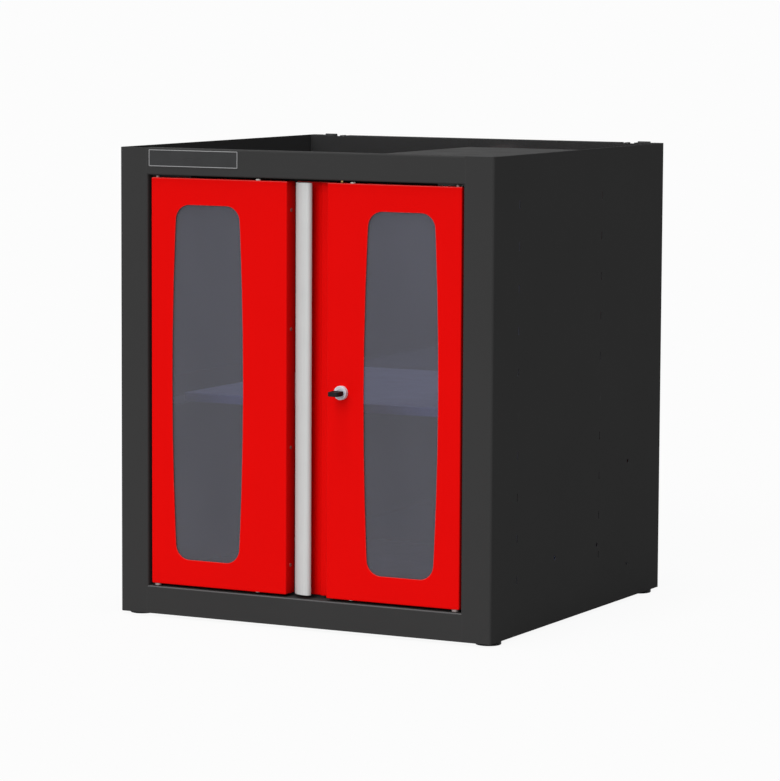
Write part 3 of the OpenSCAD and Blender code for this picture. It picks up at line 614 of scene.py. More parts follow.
class Recipe(Wiring):
    """Nodes of one material, with patterns on the piece's own coordinates."""

    EDGE_SAMPLES = 6
    EDGE_START = 0.72
    EDGE_END = 0.995

    def __init__(self, name: str) -> None:
        """Starts a material with its shader and output.

        Args:
            name: Name of the material.
        """
        self.result = bpy.data.materials.new(name)
        self.result.use_nodes = True
        super().__init__(self.result.node_tree)
        self.shader = self.tree.nodes["Principled BSDF"]
        self.place = self.add("ShaderNodeTexCoord").outputs["Object"]

    def set(self, inputs: Inputs) -> None:
        """Feeds inputs of the shader."""
        for name, value in inputs.items():
            self.feed(self.shader.inputs[name], value)

    def noise(self, scale: float, detail: float = 2.0,
              stretch: Triple | None = None) -> bpy.types.NodeSocket:
        """Adds a noise pattern.

        Args:
            scale: Number of cells in a metre.
            detail: Finer layers in the pattern.
            stretch: Scale along each axis, for grain that runs one way.

        Returns:
            The pattern's value.
        """
        place = self.place
        if stretch is not None:
            place = self.add("ShaderNodeMapping", {"Vector": place, "Scale": Vector(stretch)}).outputs[0]
        texture = self.add("ShaderNodeTexNoise", {"Vector": place, "Scale": scale, "Detail": detail})
        return texture.outputs["Fac"]

    def crystals(self, scale: float) -> bpy.types.NodeSocket:
        """Adds a pattern of small cells, as the distance from their middles."""
        texture = self.add("ShaderNodeTexVoronoi", {"Vector": self.place, "Scale": scale})
        return texture.outputs["Distance"]

    def blend(self, factor: bpy.types.NodeSocket, first: Source, second: Source) -> bpy.types.NodeSocket:
        """Mixes two colours.

        Args:
            factor: Share of the second.
            first: First colour.
            second: Second colour.

        Returns:
            The mixed colour.
        """
        return self.add("ShaderNodeMix", {0: factor, 6: first, 7: second}, data_type="RGBA").outputs[2]

    def edges(self, radius: float) -> bpy.types.NodeSocket:
        """Gives a mask that is 1 on edges and 0 on flats.

        Args:
            radius: Reach of the mask from an edge.

        Returns:
            The mask.
        """
        rounded = self.add("ShaderNodeBevel", {"Radius": radius}, samples=self.EDGE_SAMPLES)
        flat = self.add("ShaderNodeNewGeometry")
        normals = {0: rounded.outputs["Normal"], 1: flat.outputs["Normal"]}
        match = self.add("ShaderNodeVectorMath", normals, operation="DOT_PRODUCT")
        return self.spread(match.outputs["Value"], 1.0, 0.0, self.EDGE_START, self.EDGE_END)

    def sheen(self, pattern: bpy.types.NodeSocket, roughness: float, below: float, above: float) -> None:
        """Feeds the shader a roughness that changes with a pattern.

        Args:
            pattern: The pattern.
            roughness: Middle value.
            below: How far it falls under that.
            above: How far it rises over that.
        """
        self.set({"Roughness": self.spread(pattern, roughness - below, roughness + above)})

    def bump(self, height: bpy.types.NodeSocket, strength: float, depth: float) -> None:
        """Raises the surface by a pattern.

        Args:
            height: The pattern.
            strength: Share of it that shows.
            depth: Height of the pattern.
        """
        node = self.add("ShaderNodeBump", {"Height": height, "Strength": strength, "Distance": depth})
        self.set({"Normal": node.outputs["Normal"]})

    def see_through(self, tint: Colour, cover: float) -> None:
        """Lets light pass the surface.

        Args:
            tint: Colour of the light that passes.
            cover: Share of the surface that stays solid.
        """
        clear = self.add("ShaderNodeBsdfTransparent", {"Color": tint})
        both = self.add("ShaderNodeMixShader", {0: cover, 1: clear.outputs[0], 2: self.shader.outputs[0]})
        self.feed(self.tree.nodes["Material Output"].inputs["Surface"], both.outputs[0])


@dataclass(frozen=True)
class Finish:
    """A finish that is mixed once and then shared by every piece that wears it."""

    name: str
    slot: Slot
    colour: Colour

    def material(self) -> bpy.types.Material:
        """Gives the finish's material, mixed on first use."""
        known = bpy.data.materials.get(self.name)
        if known is not None:
            return known
        recipe = Recipe(self.name)
        self.mix(recipe)
        return recipe.result

    def shaded(self, share: float) -> Colour:
        """Gives the colour made lighter or darker by a share."""
        return tuple(min(1.0, channel * share) for channel in self.colour)

    def mix(self, recipe: Recipe) -> None:
        """Wires the finish's pattern into a recipe."""
        raise NotImplementedError


@dataclass(frozen=True)
class PowderCoat(Finish):
    """Baked powder paint: faint orange peel, slow tone changes, thinner and lighter on the edges, and a
    painted highlight where faces are marked.
    """

    edge_colour: Colour
    roughness: float = 0.42
    specular: float = 0.12
    ior: float = 1.5
    peel_scale: float = 620.0
    peel_depth: float = 0.012 * MM
    peel_strength: float = 0.35
    tone: float = 0.05
    tone_scale: float = 5.0
    sheen_scale: float = 25.0
    edge_reach: float = 1.1 * MM
    wear_scale: float = 60.0
    least_wear: float = 0.35

    def mix(self, recipe: Recipe) -> None:
        """Wires tone, edges, the painted highlight on marked faces, sheen and orange peel."""
        tone = recipe.mask(recipe.noise(self.tone_scale, detail=3.0))
        paint = recipe.blend(tone, self.shaded(1 - self.tone), self.shaded(1 + self.tone))
        wear = recipe.spread(recipe.noise(self.wear_scale), self.least_wear, 1.0)
        worn = recipe.join("MULTIPLY", recipe.edges(self.edge_reach), wear)
        lighter = recipe.blend(worn, paint, self.edge_colour)
        # Faces marked with the attribute take the edge colour as a painted highlight
        wear_and_highlight = recipe.add("ShaderNodeAttribute", attribute_name=FOLD_HIGHLIGHT).outputs["Fac"]
        recipe.set({"Base Color": recipe.blend(wear_and_highlight, lighter, self.edge_colour),
                    "Specular IOR Level": self.specular, "IOR": self.ior})
        recipe.sheen(recipe.noise(self.sheen_scale), self.roughness,
                     below=0.08 * self.roughness, above=0.1 * self.roughness)
        recipe.bump(recipe.noise(self.peel_scale, detail=3.0), self.peel_strength, self.peel_depth)


@dataclass(frozen=True)
class DrawnMetal(Finish):
    """Bare or plated metal with fine lines that run one way."""

    roughness: float = 0.3
    metallic: float = 1.0
    lines: Triple = (900.0, 900.0, 6.0)
    line_depth: float = 0.03 * MM
    line_strength: float = 0.25
    tone: float = 0.06
    tone_scale: float = 25.0

    def mix(self, recipe: Recipe) -> None:
        """Wires the lines into colour, sheen and height."""
        lines = recipe.noise(1.0, detail=3.0, stretch=self.lines)
        cloud = recipe.mask(recipe.noise(self.tone_scale, detail=3.0))
        clouded = recipe.blend(cloud, self.shaded(1 - self.tone), self.colour)
        lined = recipe.blend(recipe.mask(lines), clouded, self.shaded(1 + self.tone))
        recipe.set({"Base Color": lined, "Metallic": self.metallic})
        recipe.sheen(lines, self.roughness, below=0.06, above=0.08)
        recipe.bump(lines, self.line_strength, self.line_depth)


@dataclass(frozen=True)
class Plated(Finish):
    """Zinc or nickel plate: small crystals that differ a little in tone and sheen."""

    roughness: float = 0.32
    metallic: float = 1.0
    crystal_scale: float = 420.0
    tone: float = 0.1
    sheen_scale: float = 300.0
    grain_scale: float = 900.0
    grain_depth: float = 0.02 * MM
    grain_strength: float = 0.2

    def mix(self, recipe: Recipe) -> None:
        """Wires the crystals into colour, and finer patterns into sheen and height."""
        tone = recipe.spread(recipe.crystals(self.crystal_scale), 0.0, 1.0, start=0.1, end=0.8)
        colour = recipe.blend(tone, self.shaded(1 + self.tone), self.shaded(1 - self.tone))
        recipe.set({"Base Color": colour, "Metallic": self.metallic})
        recipe.sheen(recipe.noise(self.sheen_scale), self.roughness, below=0.06, above=0.08)
        recipe.bump(recipe.noise(self.grain_scale), self.grain_strength, self.grain_depth)


@dataclass(frozen=True)
class Moulded(Finish):
    """Moulded plastic or foam: an eroded grain, a little lighter where it is worn."""

    roughness: float = 0.5
    specular: float = 0.3
    grain_scale: float = 1400.0
    grain_depth: float = 0.08 * MM
    grain_strength: float = 0.4
    tone: float = 0.15
    tone_scale: float = 40.0
    edge_reach: float = 0.6 * MM
    edge_tone: float = 4.0
    wear_scale: float = 120.0
    wear: tuple[float, float] = (0.2, 0.8)

    def mix(self, recipe: Recipe) -> None:
        """Wires the grain into sheen and height, and rubbing into the colour."""
        grain = recipe.noise(self.grain_scale, detail=3.0)
        cloud = recipe.mask(recipe.noise(self.tone_scale, detail=4.0))
        wear_and_highlight = recipe.blend(cloud, self.shaded(1 - self.tone), self.shaded(1 + self.tone))
        wear = recipe.spread(recipe.noise(self.wear_scale), *self.wear)
        worn = recipe.join("MULTIPLY", recipe.edges(self.edge_reach), wear)
        colour = recipe.blend(worn, wear_and_highlight, self.shaded(1 + self.edge_tone * self.tone))
        recipe.set({"Base Color": colour, "Specular IOR Level": self.specular})
        recipe.sheen(grain, self.roughness, below=0.08, above=0.1)
        recipe.bump(grain, self.grain_strength, self.grain_depth)


@dataclass(frozen=True)
class SmokedAcrylic(Finish):
    """Smoked sheet: grey with a blue cast to what shows through it, and faint wiping marks."""

    tint: Colour = (0.694, 0.724, 0.967)
    cover: float = 0.16
    roughness: float = 0.14
    specular: float = 0.05
    haze_scale: float = 9.0
    haze_stretch: Triple = (1.0, 1.0, 0.4)
    haze_tone: tuple[float, float] = (0.95, 1.06)
    wipe_scale: float = 30.0
    wipe_stretch: Triple = (1.0, 1.0, 0.3)

    def mix(self, recipe: Recipe) -> None:
        """Wires haze into the colour and wiping marks into the sheen."""
        recipe.see_through(self.tint, self.cover)
        haze = recipe.mask(recipe.noise(self.haze_scale, detail=4.0, stretch=self.haze_stretch))
        dull, bright = (self.shaded(share) for share in self.haze_tone)
        recipe.set({"Base Color": recipe.blend(haze, dull, bright), "Specular IOR Level": self.specular})
        wiped = recipe.noise(self.wipe_scale, detail=5.0, stretch=self.wipe_stretch)
        recipe.sheen(wiped, self.roughness, below=0.04, above=0.08)


@dataclass(frozen=True)
class Finishes:
    """The finishes of the cabinet."""

    carcass: Finish = PowderCoat("anthracite_coat", Slot.CARCASS_PAINT, (0.0375, 0.0375, 0.0375),
                                 (0.085, 0.086, 0.088), roughness=0.45, specular=0.0006, tone=0.02)
    # Lighter copy of the anthracite paint for the shelf and the floor panel: painted light, standing in for
    # light falling on them inside the cabinet
    inside: Finish = PowderCoat("inside_coat_painted_light", Slot.CARCASS_PAINT, (0.115, 0.116, 0.12),
                                (0.17, 0.171, 0.175), roughness=0.3, specular=0.3, tone=0.02,
                                peel_depth=0.0008 * MM)
    back: Finish = PowderCoat("back_coat", Slot.CARCASS_PAINT, (0.034, 0.034, 0.034),
                              (0.07, 0.071, 0.073), roughness=0.08, specular=0.5, ior=2.6, tone=0.02,
                              peel_depth=0.0008 * MM)
    door: Finish = PowderCoat("red_coat", Slot.DOOR_PAINT, (0.66, 0.0022, 0.0018), (0.76, 0.09, 0.08),
                              roughness=0.36, specular=0.02, tone=0.02, edge_reach=1.6 * MM)
    pane: Finish = SmokedAcrylic("smoked_sheet", Slot.SMOKED_PANE, (0.355, 0.352, 0.338))
    foam: Finish = Moulded("foam_strip", Slot.BLACK_FOAM, (0.012, 0.012, 0.012), roughness=0.85,
                           specular=0.1, grain_scale=900.0, grain_depth=0.3 * MM)
    zinc: Finish = Plated("zinc_plate", Slot.ZINC_STEEL, (0.56, 0.57, 0.59))
    lock: Finish = Plated("bright_nickel", Slot.BRIGHT_LOCK, (0.53, 0.525, 0.575), roughness=0.55,
                          metallic=0.08, crystal_scale=900.0, tone=0.04)
    aluminium: Finish = DrawnMetal("drawn_aluminium", Slot.SATIN_ALUMINIUM, (0.48, 0.485, 0.482),
                                   roughness=0.55, metallic=0.08)
    yellow: Finish = Plated("yellow_zinc", Slot.YELLOW_ROD, (0.64, 0.45, 0.15), roughness=0.28)
    black: Finish = Moulded("black_moulding", Slot.BLACK_PLASTIC, (0.010, 0.0102, 0.011), specular=0.08)
    nylon: Finish = Moulded("white_nylon_moulding", Slot.WHITE_NYLON, (0.76, 0.76, 0.72), roughness=0.42,
                            tone=0.04)
    pin: Finish = Plated("dull_zinc", Slot.ZINC_STEEL, (0.27, 0.22, 0.215), roughness=0.55, metallic=0.4)
    # Rivet heads in a red-brown zinc, darker than the plain zinc plate
    rivet: Finish = Plated("red_brown_zinc", Slot.ZINC_STEEL, (0.27, 0.06, 0.05), roughness=0.55, metallic=0.2)
    rim: Finish = Plated("label_rim", Slot.LABEL_BLACK, (0.26, 0.26, 0.265), roughness=0.45,
                         crystal_scale=900.0)
    label: Finish = Moulded("blank_label", Slot.LABEL_BLACK, (0.016, 0.0165, 0.0175), roughness=0.38,
                            grain_scale=2400.0, grain_depth=0.03 * MM)


@dataclass
class Plan:
    """Planes of the cabinet that its sub-assemblies share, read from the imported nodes."""

    front: float = field(init=False)
    rear: float = field(init=False)
    under: float = field(init=False)
    rim: float = field(init=False)
    side: float = field(init=False)
    post: float = field(init=False)
    open_low: float = field(init=False)
    open_high: float = field(init=False)
    pivot: Vector = field(init=False)
    lock: Vector = field(init=False)
    sheet: float = 1.5 * MM
    rod_offset: float = 12 * MM
    rod_hole: float = 3.5 * MM

    def __post_init__(self) -> None:
        """Measures the side panel, the front rails, the pivots and the lock."""
        low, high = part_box("right_side_panel")
        self.front, self.rear = low.y, high.y
        self.under, self.rim = low.z, high.z
        self.side = high.x
        rail_low, rail_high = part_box("top_front_rail")
        self.post = rail_high.x
        self.open_high = rail_low.z
        self.open_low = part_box("bottom_front_rail")[1].z
        self.pivot = self.centre("right_pivot_pins")
        self.lock = self.centre("lock_barrel")

    @staticmethod
    def centre(node: str) -> Vector:
        """Gives the middle of a node's box."""
        low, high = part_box(node)
        return (low + high) / 2

    def rod_tool(self, end: End, level: float) -> Workpiece:
        """Makes the tool that cuts a lock rod's hole.

        Args:
            end: Which rod.
            level: Height of the sheet that it passes through.

        Returns:
            The cutting tool.
        """
        rod = self.centre("upper_lock_rod" if end is End.TOP else "lower_lock_rod")
        place = Vector((self.lock.x - end.value * self.rod_offset, rod.y, level - PAST))
        return Workpiece.bar("rod_tool", place, Axis.Z, self.rod_hole, 2 * PAST, HOLE_SIDES)

    def at(self, x: float, y: float, z: float) -> Vector:
        """Gives a place from the mid-plane, the carcass front and its underside."""
        return Vector((x, self.front + y, self.under + z))


@dataclass
class Carcass:
    """Folded side panels, rails, back, corner plate, feet and label plate."""

    plan: Plan
    finishes: Finishes
    bend: float = 5 * MM
    bend_faces: int = 6
    edge: float = 3 * MM
    fold: float = 2.2 * MM
    weld: float = 2.9 * MM
    broken: float = 0.35 * MM
    post_return: float = 18 * MM
    rear_flange: float = 18 * MM
    foot_flange: float = 46 * MM
    slit_low: float = 95.5 * MM
    slit_pitch: float = 71 * MM
    slit_count: int = 10
    slit_size: tuple[float, float] = (3 * MM, 14 * MM)
    slit_columns: tuple[float, float] = (102 * MM, 438 * MM)
    joining_radius: float = 3.75 * MM
    joining_places: tuple[tuple[float, float], ...] = (
        (254 * MM, 114 * MM), (431 * MM, 114 * MM), (563 * MM, 63 * MM), (563 * MM, 250 * MM))
    rail_return: float = 48 * MM
    rail_leg: float = 20 * MM
    # Share of the edge colour painted on the bottom rail's upper fold as a highlight
    rail_fold_highlight: float = 1.0
    top_flange: float = 20 * MM
    bush_radius: float = 5 * MM
    worktop_hole: float = 3.25 * MM
    worktop_x: float = 120 * MM
    tab_inset: float = 38 * MM
    tab_length: float = 25 * MM
    notch_width: float = 15 * MM
    notch_finger: float = 4.5 * MM
    second_notch: float = 8.5 * MM
    notch_depth: float = 3 * MM
    notch_reach: float = 22 * MM
    notch_clear: float = 1 * MM
    plate_sheet: float = 2 * MM
    plate_gap: float = 0.3 * MM
    ear_lap: float = 6 * MM
    ear_drop: float = 0.02 * MM
    foot_radius: float = 22 * MM
    foot_chamfer: float = 1.5 * MM
    foot_sink: float = 5.7 * MM
    foot_sink_depth: float = 2.8 * MM
    label_corner: float = 1.2 * MM
    label_rim: float = 1.3 * MM
    label_sink: float = 0.3 * MM

    def build(self) -> None:
        """Builds and dresses every piece of the carcass."""
        for side in Side:
            self.build_side_panel(side)
        for end in (End.TOP, End.BOTTOM):
            self.build_front_rail(end)
        self.build_rear_rail()
        self.build_back_panel()
        self.build_corner_plate()
        self.build_feet()
        self.build_label()
        self.dress_nodes()

    def side_cutters(self, side: Side) -> list[Workpiece]:
        """Makes the tools that cut a side panel's slits, and the right one's joining holes.

        Args:
            side: Which side panel.

        Returns:
            The cutting tools.
        """
        plan = self.plan
        width, height = self.slit_size
        reach = Vector((PAST + plan.sheet, width / 2, height / 2))
        first = plan.at(side.value * plan.side, self.slit_columns[0], self.slit_low)
        slits = Workpiece.block("slit_tool", first - reach, first + reach)
        slits.repeat(self.slit_count, Vector((0, 0, self.slit_pitch)))
        slits.repeat(2, Vector((0, self.slit_columns[1] - self.slit_columns[0], 0)))
        if side is Side.LEFT:
            return [slits]
        holes = [
            Workpiece.bar("hole_tool", plan.at(side.value * plan.side - reach.x, y, z), Axis.X,
                          self.joining_radius, 2 * reach.x, HOLE_SIDES)
            for y, z in self.joining_places
        ]
        return [slits, holes[0].gather(*holes[1:])]

    def build_side_panel(self, side: Side) -> None:
        """Folds a side panel: wall, front post and its return, rear flange and foot flange.

        Args:
            side: Which side panel.
        """
        plan = self.plan
        out = side.value * plan.side
        mid_y, mid_z = (plan.front + plan.rear) / 2, (plan.under + plan.rim) / 2
        inward = Vector((-side.value, 0, 0))
        panel = Workpiece.plate(f"{side.name.lower()}_side_sheet", Vector((out, plan.front, plan.under)),
                                Vector((out, plan.rear, plan.rim)), -inward)
        panel.fold(Vector((out, plan.front, mid_z)), inward * (plan.side - plan.post),
                   Vector((0, self.post_return, 0)))
        panel.fold(Vector((out, plan.rear, mid_z)), inward * (self.rear_flange + plan.sheet))
        panel.round_edges(all_of(is_fold, lies_at(Axis.X, side.value * plan.post)), self.edge)
        panel.round_edges(all_of(is_fold, lies_at(Axis.Y, plan.front), lies_at(Axis.X, out)), self.bend,
                          self.bend_faces)
        panel.round_edges(all_of(is_fold, lies_at(Axis.Y, plan.rear)), self.fold)
        panel.fold(Vector((out, mid_y, plan.under)), inward * (self.foot_flange + plan.sheet))
        panel.thicken(plan.sheet)
        panel.cut(*self.side_cutters(side)).soften(self.broken)
        panel.fit(Body.CARCASS, self.finishes.carcass, f"{side.name.lower()}_side_panel")

    def rail_tools(self, end: End, level: float) -> list[Workpiece]:
        """Makes the tools for the pivot bushes and the lock rod in a rail's return.

        Args:
            end: Which rail.
            level: Height of its return.

        Returns:
            The cutting tools.
        """
        tools = [self.plan.rod_tool(end, level)]
        for side in Side:
            place = Vector((side.value * self.plan.pivot.x, self.plan.pivot.y, level - PAST))
            tools.append(Workpiece.bar("bush_tool", place, Axis.Z, self.bush_radius, 2 * PAST, HOLE_SIDES))
        return tools

    def worktop_tools(self, y: float) -> list[Workpiece]:
        """Makes the tools for two worktop holes.

        Args:
            y: Their depth in the cabinet.

        Returns:
            The cutting tools.
        """
        level = self.plan.rim - 2 * PAST
        return [
            Workpiece.bar("worktop_tool", Vector((side.value * self.worktop_x, y, level)), Axis.Z,
                          self.worktop_hole, 3 * PAST, HOLE_SIDES)
            for side in Side
        ]

    def build_front_rail(self, end: End) -> None:
        """Folds a front rail: its face, its return with a leg, and the top one's flange.

        Args:
            end: Which rail.
        """
        plan = self.plan
        word = end.name.lower()
        reach = plan.post + self.weld
        is_top = end is End.TOP
        level, far = (plan.open_high, plan.rim) if is_top else (plan.open_low, plan.under)
        rail = Workpiece.plate(f"{word}_rail_sheet", Vector((-reach, plan.front, min(level, far))),
                               Vector((reach, plan.front, max(level, far))), Vector((0, -1, 0)))
        rail.fold(Vector((0, plan.front, level)), Vector((0, self.rail_return, 0)),
                  Vector((0, 0, end.value * self.rail_leg)))
        tools = self.rail_tools(end, level)
        if is_top:
            rail.fold(Vector((0, plan.front, far)), Vector((0, self.top_flange, 0)))
            tools += self.worktop_tools(plan.front + (self.top_flange + plan.sheet) / 2)
        rail.round_edges(is_fold, self.edge).thicken(plan.sheet)
        rail.cut(*tools).soften(self.broken, keep=self.welded_end)
        # The bottom rail's upper fold gets a painted highlight, lighter paint where the top light would
        # catch it
        if not is_top:
            rail.paint_fold_highlight(faces_up_front, self.rail_fold_highlight)
        rail.fit(Body.CARCASS, self.finishes.carcass, f"{word}_front_rail")

    def welded_end(self, edge: bmesh.types.BMEdge) -> bool:
        """Says whether an edge is at a rail's end, where it is welded to the post and ground flat."""
        return abs(abs(middle(edge).x) - self.plan.post - self.weld) < TOUCH

    def build_rear_rail(self) -> None:
        """Folds the rear top rail and cuts the notches of its two tabs."""
        plan = self.plan
        low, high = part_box("top_rear_rail")
        rail = Workpiece.plate("rear_rail_sheet", Vector((low.x, low.y, plan.rim)),
                               Vector((high.x, high.y, plan.rim)), Vector((0, 0, 1)))
        rail.fold(Vector((0, high.y, plan.rim)), Vector((0, 0, low.z - plan.rim)))
        rail.round_edges(is_fold, self.fold).thicken(plan.sheet)
        tab_out = plan.side - self.tab_inset + self.tab_length / 2
        tab_in = tab_out - self.tab_length
        finger_out = tab_in - self.notch_width
        finger_in = finger_out - self.notch_finger
        for side in Side:
            left, right = sorted((side.value * tab_in, side.value * tab_out))
            tab_low = Vector((left, high.y - plan.sheet, plan.rim - PAST - plan.sheet))
            rail.weld_on(Workpiece.block("tab", tab_low, Vector((right, high.y, high.z))))
            for inner, outer in ((finger_out, tab_in), (finger_in - self.second_notch, finger_in)):
                left, right = sorted((side.value * inner, side.value * outer))
                rail.cut(Workpiece.block(
                    "notch_tool", Vector((left, high.y - self.notch_reach, plan.rim - self.notch_depth)),
                    Vector((right, high.y + PAST, plan.rim + self.notch_clear))))
        rail.cut(*self.worktop_tools((low.y + high.y) / 2))
        rail.soften(self.broken).fit(Body.CARCASS, self.finishes.carcass, "top_rear_rail")

    def build_back_panel(self) -> None:
        """Folds the back panel: its face, side flanges and foot flange."""
        low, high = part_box("back_panel")
        depth = Vector((0, high.y - low.y, 0))
        mid_z = (low.z + high.z) / 2
        panel = Workpiece.plate("back_sheet", low, Vector((high.x, low.y, high.z)), Vector((0, -1, 0)))
        for place in (Vector((low.x, low.y, mid_z)), Vector((high.x, low.y, mid_z)),
                      Vector((0, low.y, low.z))):
            panel.fold(place, depth)
        panel.round_edges(is_fold, self.fold).thicken(self.plan.sheet)
        panel.soften(self.broken).fit(Body.CARCASS, self.finishes.carcass, "back_panel")
        panel.coat_faces(self.finishes.back, lambda face: face.center.y < low.y + TOUCH)

    def build_corner_plate(self) -> None:
        """Presses the corner plate as an upturned tray and welds its ear over the post."""
        plan = self.plan
        low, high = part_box("corner_plate")
        front = plan.front + self.top_flange + self.plate_gap
        plate = Workpiece.block("corner_plate_sheet", Vector((low.x, front, low.z)), high)
        plate.drop(lies_at(Axis.Z, low.z)).round_edges(is_fold, self.edge).thicken(self.plate_sheet)
        ear_low = Vector((plan.post + plan.sheet + self.plate_gap, low.y, high.z - self.plate_sheet))
        ear_high = Vector((plan.side - self.bend, front + self.ear_lap, high.z - self.ear_drop))
        plate.weld_on(Workpiece.block("ear", ear_low, ear_high))
        plate.soften(self.broken).fit(Body.CARCASS, self.finishes.carcass, "corner_plate")

    def build_feet(self) -> None:
        """Turns one foot with its screw recess and copies it to the four corners."""
        low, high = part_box("feet")
        radius = self.foot_radius
        place = Vector((low.x + radius, low.y + radius, low.z))
        foot = Workpiece.bar("foot_pads", place, Axis.Z, radius, high.z - low.z, TURNED_SIDES)
        foot.round_edges(lies_at(Axis.Z, low.z), self.foot_chamfer, segments=3)
        foot.sink(lies_at(Axis.Z, low.z), radius - self.foot_chamfer - self.foot_sink,
                  Vector((0, 0, self.foot_sink_depth)))
        across = Vector((high.x - low.x - 2 * radius, 0, 0))
        along = Vector((0, high.y - low.y - 2 * radius, 0))
        copies = [foot.copy(move) for move in (across, along, across + along)]
        foot.gather(*copies).soften(self.broken).fit(Body.CARCASS, self.finishes.black, "feet")

    def build_label(self) -> None:
        """Makes the blank label plate with rounded corners."""
        low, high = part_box("label_plate")
        label = Workpiece.block("blank_label_plate", low, high)
        label.round_edges(runs_along(Axis.Y), self.label_corner, segments=5)
        label.sink(lies_at(Axis.Y, low.y), self.label_rim, Vector((0, self.label_sink, 0)))
        label.shade().fit(Body.CARCASS, self.finishes.label, "label_plate")
        label.coat_faces(self.finishes.rim, lambda face: face.center.y < low.y + self.label_sink / 2)

    def dress_nodes(self) -> None:
        """Dresses the carcass pieces that stay as they were built in CAD."""
        # The floor panel wears the lighter inside paint, painted light
        dress(self.finishes.inside, "floor_panel")
        dress(self.finishes.carcass, "door_stops", "left_shelf_rail", "right_shelf_rail")
        dress(self.finishes.zinc, "foot_screws", "foot_nuts")
        dress(self.finishes.black, "pivot_bushes")


def dress(finish: Finish, *nodes: str) -> None:
    """Puts a finish on CAD nodes.

    Args:
        finish: Finish that they wear.
        nodes: Their names.
    """
    for name in nodes:
        for material_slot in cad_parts[name].material_slots:
            material_slot.material = finish.material()
        LOG.info("%s: kept as built, %s", name, finish.name)


@dataclass
class Shelf:
    """Lift-out shelf, pressed as an upturned tray."""

    finishes: Finishes
    sheet: float = 1.2 * MM
    fold: float = 2.2 * MM
    broken: float = 0.3 * MM

    def build(self) -> None:
        """Builds and dresses the shelf."""
        low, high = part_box("shelf")
        tray = Workpiece.block("shelf_tray", low, high)
        tray.drop(lies_at(Axis.Z, low.z)).round_edges(is_fold, self.fold).thicken(self.sheet)
        # The shelf wears the lighter inside paint, painted light
        tray.soften(self.broken).fit(Body.SHELF, self.finishes.inside, "shelf")


